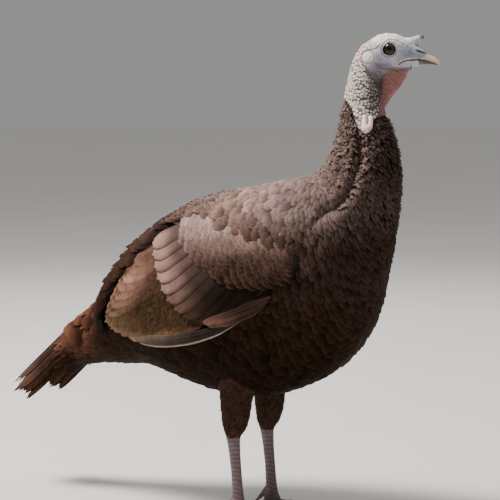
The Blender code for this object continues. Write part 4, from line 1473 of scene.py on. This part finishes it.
# Sockets, lids, folds and wrinkles, as moves along the normals.
def shapeHead(points, normals, feathered):
    relief = headLook["relief"]
    a, b, z = headPlace(points)
    onSide = ramp(np.abs(b), 0.006, 0.010)
    r = eyeDistance(a, z)
    eyeZ = headLook["eye"][2]
    brow = ramp(z, eyeZ, eyeZ + 0.007)
    move = -relief["socket"] * (1 - ramp(r, 0.0064, 0.0084)) * onSide
    move += relief["lid"] * ridge(r, headLook["lidRidge"], 0.0011) * onSide
    move += relief["lidFold"] * ridge(r, 0.0126, 0.0012) * onSide
    move -= relief["lidCrease"] * ridge(r, 0.0110, 0.0007) * onSide
    fold = nearLine(a, z, headLook["browFold"])
    away = ramp(r, 0.0095, 0.0120) * onSide
    browLine = relief["brow"] * ridge(fold, 0.0016, 0.0014) * brow
    move += (browLine - relief["browCrease"] * ridge(fold, 0, 0.0012)) * away
    move -= relief["jawCrease"] * ridge(nearLine(a, z, headLook["jawFold"]), 0, 0.0010) * onSide
    mouth = nearLine(a, z, headLook["mouth"])
    lips = ramp(np.abs(b), 0.0015, 0.004) * ramp(a, 0.040, 0.047)
    lipLine = relief["lip"] * ridge(mouth, 0.0021, 0.0010)
    move += (lipLine - relief["mouthSlit"] * ridge(mouth, 0, 0.0008)) * lips
    slit, lid = nostril(a, b, z)
    move += relief["nostrilLid"] * lid - relief["nostril"] * slit
    ear = earDistance(a, z)
    earPatch = relief["ear"] * (1 - ramp(ear, 0.0035, 0.0080))
    move += (earPatch - relief["earCrease"] * ridge(ear, 0.0086, 0.0010)) * onSide
    throat = ramp(z, 0.570, 0.590) * (1 - ramp(z, 0.640, 0.652)) * ramp(a, -0.012, 0.004)
    flap = inWattle(a, z)
    wavy = (z + 0.0030 * ripple(points, 0.021, 1)) * math.tau / 0.0047
    waves = np.sin(wavy + 2.2 * ripple(points, 0.013, 4))
    move += relief["throatWaves"] * waves * throat * (1 - flap)
    cheek = ramp(a, 0.004, 0.016) * (1 - ramp(a, 0.046, 0.056))
    cheek = cheek * ramp(z, 0.640, 0.650) * (1 - ramp(z, 0.662, 0.668))
    folds = np.sin((a * 0.75 + z + 0.0022 * ripple(points, 0.012, 2)) * math.tau / 0.0031)
    move += relief["cheekFolds"] * folds * cheek
    warts = ramp(ripple(points, 0.0042, 3), 0.05, 0.6)
    gape = blot(a, z, (0.0440, 0.6575), (0.010, 0.0040), 2)
    crown = ramp(z, 0.678, 0.688) * (1 - ramp(a, 0.056, 0.064))
    move += relief["warts"] * warts * np.maximum(crown, gape) * ramp(r, 0.011, 0.013)
    wandered = points + 0.0016 * ripple(points, 0.0075, 9)[:, None]
    fine = relief["wattleGrain"] * ripple(wandered, 0.0036, 5)
    move += (fine + relief["wattleLumps"] * ripple(wandered, 0.0095, 6)) * flap
    rings = np.sin((a * 0.85 + z * 0.53 + 0.0008 * ripple(points, 0.01, 7)) * math.tau / 0.0030)
    move += relief["snoodRings"] * rings * onSnood(a, z)
    move = move * (1 - feathered) - feathered * (1.15 * headLook["coatDepth"] + 0.9 * foldDepth(points))
    return points + normals * move[:, None]


# 1 on the flap that hangs under the jaw.
def inWattle(a, z):
    front = np.interp(z, *headLook["wattleFront"])
    back = np.interp(z, *headLook["wattleBack"])
    return ramp(a, back, back + 0.005) * (1 - ramp(a, front, front + 0.004)) * (1 - ramp(z, 0.6415, 0.6465))


def skinColours(points, feathered, rim, lobe):
    a, b, z = headPlace(points)
    onSide = ramp(np.abs(b), 0.006, 0.010)
    grain = ripple(points, 0.006, 2)
    broad = ripple(points, 0.017, 8)
    r = eyeDistance(a, z)
    colour = np.broadcast_to(colourOf("paleBlue"), points.shape).copy()
    below = blot(a, z, (0.0245, 0.6560), (0.0125, 0.0085))
    colour = mixed(colour, "lavender", 0.85 * below)
    neckShade = (1 - ramp(z, 0.640, 0.652)) * ramp(0.047 - a, 0.0, 0.012)
    colour = mixed(colour, mixed("dusk", "lavender", 0.20 + 0.20 * broad), neckShade)
    colour = mixed(colour, "flesh", 0.7 * blot(a, z, (0.036, 0.6440), (0.020, 0.0050)))
    crown = ramp(z + 0.12 * a, 0.6805, 0.6875)
    colour = mixed(colour, np.minimum(colourOf("cream") * 1.5, 0.92), crown * (0.85 + 0.15 * grain))
    speckle = ramp(ripple(points, 0.0042, 3), 0.15, 0.7)
    colour = mixed(colour, "cream", 0.55 * speckle * ramp(a, 0.006, 0.020) * ramp(z, 0.650, 0.658))
    nape = ramp(-a, -0.004, 0.006)
    flush = nape * ramp(z, 0.648, 0.668)
    # painted shade in the gaps between the beads, reddened on the nape
    beadGapShade = mixed(mixed("dusk", "ink", 0.55 - 0.2 * broad), "coral", 0.85 * flush)
    bead = mixed("cream", "rose", 0.15 + 0.10 * grain) * (1.08 + 0.25 * flush)[:, None]
    bead = mixed(bead, "coral", 0.30 * flush)
    beaded = 1 - ramp(rim, 1.45, 1.95)
    colour = mixed(colour, mixed(bead, beadGapShade, ramp(rim, 0.78, 1.15)), beaded)
    # painted light below the eye, painted shade on the face, jaw and neck
    for middle, reach, change in headLook["paintedLightAndShade"]:
        colour = colour * (1 + blot(a, z, middle, reach)[:, None] * np.array(change))
    flap = mixed("coral", "rose", 0.55 + 0.45 * grain) * 0.72
    colour = mixed(colour, flap, inWattle(a, z) * (1 - beaded))
    hanging = mixed("rose", "cream", 0.55 + 0.12 * grain) * (1.6, 1.58, 1.75)
    colour = mixed(colour, hanging, lobe)
    mouth = nearLine(a, z, headLook["mouth"])
    lips = ramp(np.abs(b), 0.0015, 0.003) * ramp(a, 0.038, 0.046)
    colour = mixed(colour, "cream", 0.5 * ridge(mouth, 0.0022, 0.0010) * lips)
    # painted shade in the mouth's slit
    colour = mixed(colour, "ink", 0.85 * ridge(mouth, 0, 0.0007) * lips)
    cere = ramp(a + 0.4 * (z - 0.665), 0.056, 0.068) * ramp(z, 0.6570, 0.6600) * (1 - ramp(z, 0.677, 0.682))
    colour = mixed(colour, "greyBlue", 0.55 * cere)
    # painted shade in the nostril's slit
    colour = mixed(colour, "ink", nostril(a, b, z)[0])
    colour = mixed(colour, "ink", (1 - ramp(r, 0.0084, 0.0098)) * onSide)
    colour = mixed(colour, "greyBlue", 0.40 * ridge(r, 0.0108, 0.0009) * onSide)
    fold = nearLine(a, z, headLook["browFold"])
    # painted shade in the brow's crease
    colour = mixed(colour, "dusk", 0.25 * ridge(fold, 0, 0.0012) * onSide)
    earPatch = 0.95 * (1 - ramp(earDistance(a, z), 0.0052, 0.0092)) * onSide
    colour = mixed(colour, np.minimum(colourOf("cream") * (1.36, 1.30, 1.44), 0.92), earPatch)
    stalk = mixed("lavender", "cream", 0.5 + 0.3 * grain)
    colour = mixed(colour, stalk, 0.8 * onSnood(a, z))
    colour = mixed(colour, "ink", 0.8 * ramp(a + z, 0.760, 0.767) * ramp(z, 0.682, 0.688))
    # where the coat hides it, the plumage's colour darkened: painted shade in the gaps between feathers
    return mixed(colour, plumage(points) * 0.55, feathered)


skinFinish = {
    "pore": 0.0011, "poreHeight": 0.00022, "roughness": 0.55, "blotch": 0.007,
    "underSkin": {"Subsurface_Weight": 0.2, "Subsurface_Radius": (0.004, 0.0016, 0.0010),
                  "Subsurface_Scale": 0.4},
}


def skinMaterial():
    look = skinFinish
    material, tree, shader = newMaterial("bareSkin", look["roughness"], 0.32, **look["underSkin"])
    space = objectSpace(tree)
    pores = addNode(tree, "TexVoronoi", {"Vector": space, "Scale": 1 / look["pore"]}).outputs["Distance"]
    blotch = noise(tree, space, 1 / look["blotch"], 4.0)
    hollow = addNode(tree, "NewGeometry").outputs["Pointiness"]
    light = scaledRange(tree, blotch, 0.3, 0.7, 0.82, 1.14)
    # painted shade in the skin's hollows and a little painted light on its ridges, by pointiness
    creaseShade = scaledRange(tree, hollow, 0.42, 0.54, 0.30, 1.10)
    fine = scaledRange(tree, pores, 0.0, 0.6, 1.05, 0.86)
    colour = times(tree, times(tree, times(tree, dyeOf(tree), light), creaseShade), fine)
    tree.links.new(colour, shader.inputs["Base Color"])
    raised(tree, shader, pores, 0.5, look["poreHeight"])
    return material


def addTo(bm, other):
    bm.from_mesh(meshOf(other, "scrap"))


# Her head and throat as one skin, and how feathered, beaded and lobed each of its points is.
def fleshyHead():
    flesh = mergedCopy("head", "wattle", "snood")
    throat = mergedCopy("neck")
    cutBeyond(throat, (0, 0, headLook["throatCut"]), (0, 0, -1))
    addTo(flesh, throat)
    addTo(flesh, billBase("bill_upper", headLook["upperHorn"]))
    addTo(flesh, billBase("bill_lower", headLook["lowerHorn"]))
    beads, tops, sizes = beadPlaces()
    lobes, lobeSizes = lobeBalls()
    addLumps(flesh, beads, sizes, lobes, lobeSizes)
    print("head has", len(beads), "beads")
    mesh = fused(flesh, headLook["voxel"], 2)
    points, normals = vertsOf(mesh)
    s, t = bodyPlaces(points)
    feathered = ramp(s - bareLine(t), -0.05, 0.35) * (1 - ramp(points[:, 2], 0.602, 0.612))
    lobe = 1 - ramp(beadShare(points, lobes, lobeSizes), 1.10, 1.30)
    feathered = feathered * (1 - lobe)
    rim = beadShare(points, tops, sizes)
    moveVerts(mesh, shapeHead(points, normals, feathered))
    return mesh, feathered, rim, lobe


# What her coat lies on: body, thighs and the wings' cores, a little inside the CAD solids.
def hiddenBody():
    inner = mergedCopy("wing_right", "wing_left")
    middle = Matrix.Translation(headLook["wingMiddle"])
    bmesh.ops.scale(inner, vec=headLook["wingShrink"], space=middle, verts=inner.verts)
    rest = mergedCopy("trunk", "neck_base", "neck", "tail_coverts", "thigh_right", "thigh_left")
    addTo(rest, inner)
    mesh = fused(rest, headLook["bodyVoxel"], 2)
    points, normals = vertsOf(mesh)
    depth = headLook["coatDepth"] * (1 + 0.8 * ramp(points[:, 2], 0.50, 0.55)) + 0.9 * foldDepth(points)
    moveVerts(mesh, points - normals * depth[:, None])
    return mesh


def skin():
    head, feathered, rim, lobe = fleshyHead()
    both = bmesh.new()
    both.from_mesh(head)
    both.from_mesh(hiddenBody())
    mesh = meshOf(both, "skin")
    points = vertsOf(mesh)[0]
    hidden = np.ones(len(points) - len(feathered))
    masks = [np.concatenate(pair) for pair in ((feathered, hidden), (rim, hidden * 9), (lobe, hidden * 0))]
    paint(mesh, np.clip(skinColours(points, *masks), 0, 1))
    mesh.shade_smooth()
    mesh.calc_loop_triangles()
    print("skin has", len(mesh.loop_triangles), "triangles")
    newPiece("skin", mesh, skinMaterial(), "bare_skin", "trunk", "neck_base", "neck", "head", "tail_coverts",
             "thigh_right", "thigh_left", "wattle", "snood", "caruncle_right", "caruncle_left")


skin()


# Eyes

eyeLook = {
    "radii": (0.0088, 0.0062, 0.0088), "pupil": 0.0046, "iris": 0.0070, "fibre": 1 / 900,
    "pupilColour": (0.004, 0.003, 0.003), "irisColour": (0.030, 0.014, 0.008),
    "rimColour": (0.010, 0.007, 0.006),
}


def eyeMaterial():
    look = eyeLook
    material, tree, shader = newMaterial("eyeGloss", 0.12, 0.12, Coat_Weight=0.4, Coat_Roughness=0.02)
    gaze = addNode(tree, "UVMap", uv_map="gaze").outputs[0]
    out = addNode(tree, "VectorMath", {0: gaze}, operation="LENGTH").outputs["Value"]
    fibres = noise(tree, gaze, 1 / look["fibre"], 3.0)
    iris = times(tree, plainColour(tree, look["irisColour"]), scaledRange(tree, fibres, 0.3, 0.7, 0.6, 1.4))
    inner = scaledRange(tree, out, look["pupil"], look["pupil"] + 0.0004, 0.0, 1.0)
    outer = scaledRange(tree, out, look["iris"] - 0.0006, look["iris"], 0.0, 1.0)
    colour = blendColour(tree, (*look["pupilColour"], 1), iris, inner)
    colour = blendColour(tree, colour, (*look["rimColour"], 1), outer)
    tree.links.new(colour, shader.inputs["Base Color"])
    return material


def eye(side, label, material):
    forward, out, z = headLook["eye"]
    bm = bmesh.new()
    ball = bmesh.ops.create_uvsphere(bm, u_segments=40, v_segments=24, radius=1)["verts"]
    bmesh.ops.rotate(bm, matrix=Matrix.Rotation(math.pi / 2, 3, "X"), verts=ball)  # pole looks outwards
    bmesh.ops.scale(bm, vec=eyeLook["radii"], verts=ball)
    gaze = bm.loops.layers.uv.new("gaze")
    for face in bm.faces:
        for loop in face.loops:
            loop[gaze].uv = (loop.vert.co.x, loop.vert.co.z)
    bmesh.ops.rotate(bm, matrix=Matrix.Rotation(headLook["yaw"], 3, "Z"), verts=ball)
    bmesh.ops.translate(bm, vec=headPoint(forward, out * side, z), verts=ball)
    mesh = meshOf(bm, "eyeball_" + label)
    mesh.shade_smooth()
    newPiece("eyeball_" + label, mesh, material, "eye", "eye_" + label)


eyeShine = eyeMaterial()
for side, label in sides.items():
    eye(side, label, eyeShine)


# Bill

billLook = {
    "voxel": 0.00055, "tuck": 0.0009, "deepTuck": 0.0035,
    "paleHorn": (0.50, 0.44, 0.40), "tipHorn": (0.66, 0.50, 0.38),
    "edgeHorn": (0.62, 0.34, 0.20), "darkHorn": (0.10, 0.048, 0.030),
}
hornFinish = {"grain": 0.0016, "grainHeight": 0.0002, "stretch": (0.25, 0.25, 1.0), "roughness": 0.36}


def hornMaterial(name):
    look = hornFinish
    material, tree, shader = newMaterial(name, look["roughness"], 0.5)
    drawn = addNode(tree, "Mapping", {"Vector": objectSpace(tree), "Scale": look["stretch"]}).outputs[0]
    grain = noise(tree, drawn, 1 / look["grain"], 4.0)
    light = scaledRange(tree, grain, 0.3, 0.7, 0.82, 1.16)
    tree.links.new(times(tree, dyeOf(tree), light), shader.inputs["Base Color"])
    raised(tree, shader, grain, 0.35, look["grainHeight"])
    return material


# Half of the horny bill, tucked a little under the skin at its border.
def bill(node, name, border, material):
    look = billLook
    mesh = fused(mergedCopy(node), look["voxel"], 3)
    points, normals = vertsOf(mesh)
    a, b, z = headPlace(points)
    (borderA, borderZ), (wayA, wayZ) = border
    beyond = (a - borderA) * wayA + (z - borderZ) * wayZ
    tuck = look["tuck"] * (1 - ramp(beyond, -0.0012, 0.0010))
    tuck = tuck + look["deepTuck"] * (1 - ramp(beyond, -0.006, -0.002))
    moveVerts(mesh, points - normals * tuck[:, None])
    colour = mixed(look["paleHorn"], look["tipHorn"], ramp(a, 0.082, 0.098))
    colour = mixed(colourOf("greyBlue") * 1.3, colour, ramp(beyond, -0.001, 0.004))
    if node == "bill_upper":
        edge = (1 - ramp(z - 0.25 * (0.0896 - a), 0.6545, 0.6580)) * ramp(a, 0.072, 0.086)
        colour = mixed(colour, look["edgeHorn"], 0.75 * edge)
    else:
        colour = mixed(colour * 0.38, look["darkHorn"], ramp(a, 0.070, 0.084))
        # painted shade where the lower bill's top lies inside the mouth
        colour = mixed(colour, "ink", 0.7 * ramp(z, 0.6560, 0.6585))
    paint(mesh, colour)
    mesh.shade_smooth()
    newPiece(name, mesh, material, "horn", node)


hornShine = hornMaterial("billHorn")
bill("bill_upper", "beak_upper", headLook["upperHorn"], hornShine)
bill("bill_lower", "beak_lower", headLook["lowerHorn"], hornShine)


# Bare legs: scaled shanks and toes, and the claws

legLook = {"stance": 0.045, "shankX": 0.090, "voxel": 0.0010, "scuteRow": 0.0062, "scuteDepth": 0.00055,
           "toeRow": 0.0046, "smallScale": 0.0034, "clawVoxel": 0.0006,
           "skinColour": (0.125, 0.068, 0.074), "darkSkin": (0.062, 0.036, 0.038),
           "grooveColour": (0.060, 0.040, 0.045), "plateEdge": (0.30, 0.22, 0.22),
           "clawBase": (0.085, 0.060, 0.055), "clawTip": (0.26, 0.20, 0.16)}


# Away from the middle of a shank, along x and y.
def fromShank(points, side):
    return points[:, 0] - legLook["shankX"], points[:, 1] - side * legLook["stance"]


# Overlapping plates down the shank's front and over the toes, small scales behind.
def legScales(points, normals, side):
    x, y = fromShank(points, side)
    z = points[:, 2]
    around = np.arctan2(y, x)
    onShank = ramp(z, 0.014, 0.024)
    front = 1 - ramp(np.abs(around), 1.05, 1.35)
    slant = z + 0.0018 * np.cos(around * 1.6) + 0.0006 * ripple(points, 0.03, 1)
    plate = np.mod(slant / legLook["scuteRow"] + 0.5 * (np.abs(around) > 0.15), 1)
    groove = ridge(np.minimum(plate, 1 - plate), 0, 0.11)
    seam = ridge(np.abs(around), 0.1, 0.12) * 0.5
    small = 0.5 - 0.5 * np.cos(slant * math.tau / legLook["smallScale"]) * np.cos(around * 9)
    reach = np.hypot(x, y)
    toe = np.mod(reach / legLook["toeRow"] + 0.3 * z / 0.01, 1)
    toeGroove = ridge(np.minimum(toe, 1 - toe), 0, 0.12) * ramp(normals[:, 2], 0.0, 0.35)
    pad = ramp(-normals[:, 2], 0.2, 0.6)
    grooves = onShank * (front * np.maximum(groove, seam) + (1 - front) * 0.6 * small)
    grooves = grooves + (1 - onShank) * (toeGroove + 0.25 * pad)
    return np.clip(grooves, 0, 1), plate, onShank


def leg(side, label):
    names = ["shank", "toe_middle", "toe_inner", "toe_outer", "toe_hind"]
    nodes = [name + "_" + label for name in names]
    mesh = fused(mergedCopy(*nodes), legLook["voxel"], 2)
    points, normals = vertsOf(mesh)
    grooves, plate, onShank = legScales(points, normals, side)
    standing = ramp(points[:, 2], 0.0008, 0.003)
    moved = points + normals * ((0.00018 - legLook["scuteDepth"] * grooves) * standing)[:, None]
    moved[:, 2] = np.maximum(moved[:, 2], 0.0)
    moveVerts(mesh, moved)
    colour = mixed(legLook["skinColour"], legLook["darkSkin"], 0.5 + 0.5 * ripple(points, 0.02, 6))
    colour = mixed(colour, legLook["grooveColour"], 0.85 * grooves)
    colour = mixed(colour, legLook["plateEdge"], 0.35 * ramp(plate, 0.55, 0.9) * onShank)
    paint(mesh, np.clip(colour, 0, 1))
    mesh.shade_smooth()
    newPiece("scaled_leg_" + label, mesh, hornMaterial("legScale_" + label), "leg_scales", *nodes)


def claw(side, name):
    mesh = fused(mergedCopy("claw_" + name), legLook["clawVoxel"], 2)
    points = vertsOf(mesh)[0]
    points[:, 2] = np.maximum(points[:, 2], 0.0)
    moveVerts(mesh, points)
    far = np.hypot(*fromShank(points, side))
    share = (far - far.min()) / (far.max() - far.min())
    paint(mesh, mixed(legLook["clawBase"], legLook["clawTip"], share))
    mesh.shade_smooth()
    newPiece("nail_" + name, mesh, clawHorn, "horn", "claw_" + name)


clawHorn = hornMaterial("clawHorn")
for side, label in sides.items():
    leg(side, label)
    for toe in ("middle", "inner", "outer", "hind"):
        claw(side, toe + "_" + label)
print("legs made")


# Feathered thighs

thighLook = {
    "columns": 30, "pitch": 0.30, "spread": 1.7,
    "axis": [(0.0930, 0.262), (0.0905, 0.225), (0.0868, 0.196), (0.0843, 0.176), (0.0838, 0.158),
             (0.0833, 0.143), (0.0818, 0.130), (0.0800, 0.121), (0.0798, 0.112)],
    "perSpan": 5, "lastSpan": 6.5,
    "lengths": ((0, 5, 6.8), (0.024, 0.017, 0.010)),  # of a feather, by span
    "lay": {"sink": -0.0035, "rise": 0.0004, "cup": 0.14, "thick": 0.0004, "roll": 0.05, "flare": 0.0},
}


def thighLength(s, t):
    return np.interp(s, *thighLook["lengths"])


def thigh(side, label):
    look = thighLook
    stations = [(np.array([x, side * legLook["stance"], z]), np.array([1.0, 0, 0]), np.array([0, -1.0, 0]))
                for x, z in throughRows(look["axis"], look["perSpan"])]
    solids = treeOf("thigh_" + label, "shank_" + label)
    surface = wrapSurface(stations, *solids, look["perSpan"], 2, columns=60, reach=0.06)
    found = rootsDown(surface, look["columns"], 0, look["lastSpan"], thighLength, look["pitch"])
    s, t = found[:, 0], found[:, 1]
    count = len(s)
    girth = readSurface(surface, "roundScale", s, t)
    roots = {"s": s, "t": t, "length": thighLength(s, t) * dice.uniform(0.85, 1.2, count)}
    roots["half"] = 0.5 * look["spread"] * girth * math.tau / look["columns"]
    fill(roots, **look["lay"])
    roots["skew"] = dice.normal(0, 0.10, count)
    roots["rise"] += dice.uniform(-0.0005, 0.0006, count)
    own = mixed("umber", "cocoa", 0.60) * dice.uniform(0.8, 1.2, (count, 1))
    roots["dye"], roots["tipDye"], roots["tipShare"] = own, own * 1.4, np.full(count, 0.4)
    givePatches(roots, unwrapped(s, t))
    coverSurface("coat_thigh_" + label, surface, smallVane, roots, coatMaterial)


for side, label in sides.items():
    thigh(side, label)
print("thighs laid")


# Camera, light and floor

stageLook = {
    "cameraAt": (1.6613, -2.4238, 0.62), "cameraTurn": (85.37, 0.0, 33.143), "lens": 144,
    "floorReach": 30.0, "floorColour": (0.66, 0.65, 0.63),
    "worldColour": (0.90, 0.89, 0.88), "worldLight": 0.22, "backdropLight": 0.335,
    # name, place, size, watts and colour of each soft light
    "lights": [("key", (-1.3, -1.2, 3.5), 1.2, 300, (1.0, 0.96, 0.91)),
               ("fill", (3.0, -1.0, 1.6), 2.5, 10, (0.96, 0.97, 1.0)),
               ("rim", (-1.5, 2.4, 2.4), 1.8, 40, (1.0, 0.98, 0.95))],
    "lightsAim": (0.05, 0, 0.35),
    "ceilingLight": 0.8, "ceilingSpread": 70,
}


def camera():
    made = newObject("camera", bpy.data.cameras.new("camera"))
    made.location = stageLook["cameraAt"]
    made.rotation_euler = [math.radians(turn) for turn in stageLook["cameraTurn"]]
    made.data.lens = stageLook["lens"]
    made.data.sensor_width = 36
    made.data.clip_end = 200
    bpy.context.scene.camera = made


def softLight(name, at, size, energy, colour):
    made = newObject(name, bpy.data.lights.new(name, "AREA"))
    made.data.size = size
    made.data.energy = energy
    made.data.color = colour
    made.location = at
    made.rotation_euler = (Vector(stageLook["lightsAim"]) - Vector(at)).to_track_quat("-Z", "Y").to_euler()


def floor():
    bm = bmesh.new()
    bmesh.ops.create_circle(bm, cap_ends=True, segments=64, radius=stageLook["floorReach"])
    mesh = meshOf(bm, "floor")
    made = newObject("floor", mesh)
    material, tree, shader = newMaterial("paleFloor", 0.85, 0.2)
    light = scaledRange(tree, noise(tree, objectSpace(tree), 3.0, 3.0), 0.3, 0.7, 0.98, 1.02)
    base = plainColour(tree, stageLook["floorColour"])
    tree.links.new(times(tree, base, light), shader.inputs["Base Color"])
    mesh.materials.append(material)


def surroundings():
    look = stageLook
    world = bpy.data.worlds.new("studio")
    world.use_nodes = True
    tree = world.node_tree
    sky = tree.nodes["Background"]
    sky.inputs["Color"].default_value = (*look["worldColour"], 1)
    seen = addNode(tree, "LightPath").outputs["Is Camera Ray"]
    strength = scaledRange(tree, seen, 0.0, 1.0, look["worldLight"], look["backdropLight"])
    tree.links.new(strength, sky.inputs["Strength"])
    bpy.context.scene.world = world
    ceiling = newObject("ceiling", bpy.data.lights.new("ceiling", "SUN"))
    ceiling.data.energy = look["ceilingLight"]
    ceiling.data.angle = math.radians(look["ceilingSpread"])


camera()
floor()
surroundings()
for light in stageLook["lights"]:
    softLight(*light)
print("stage set")
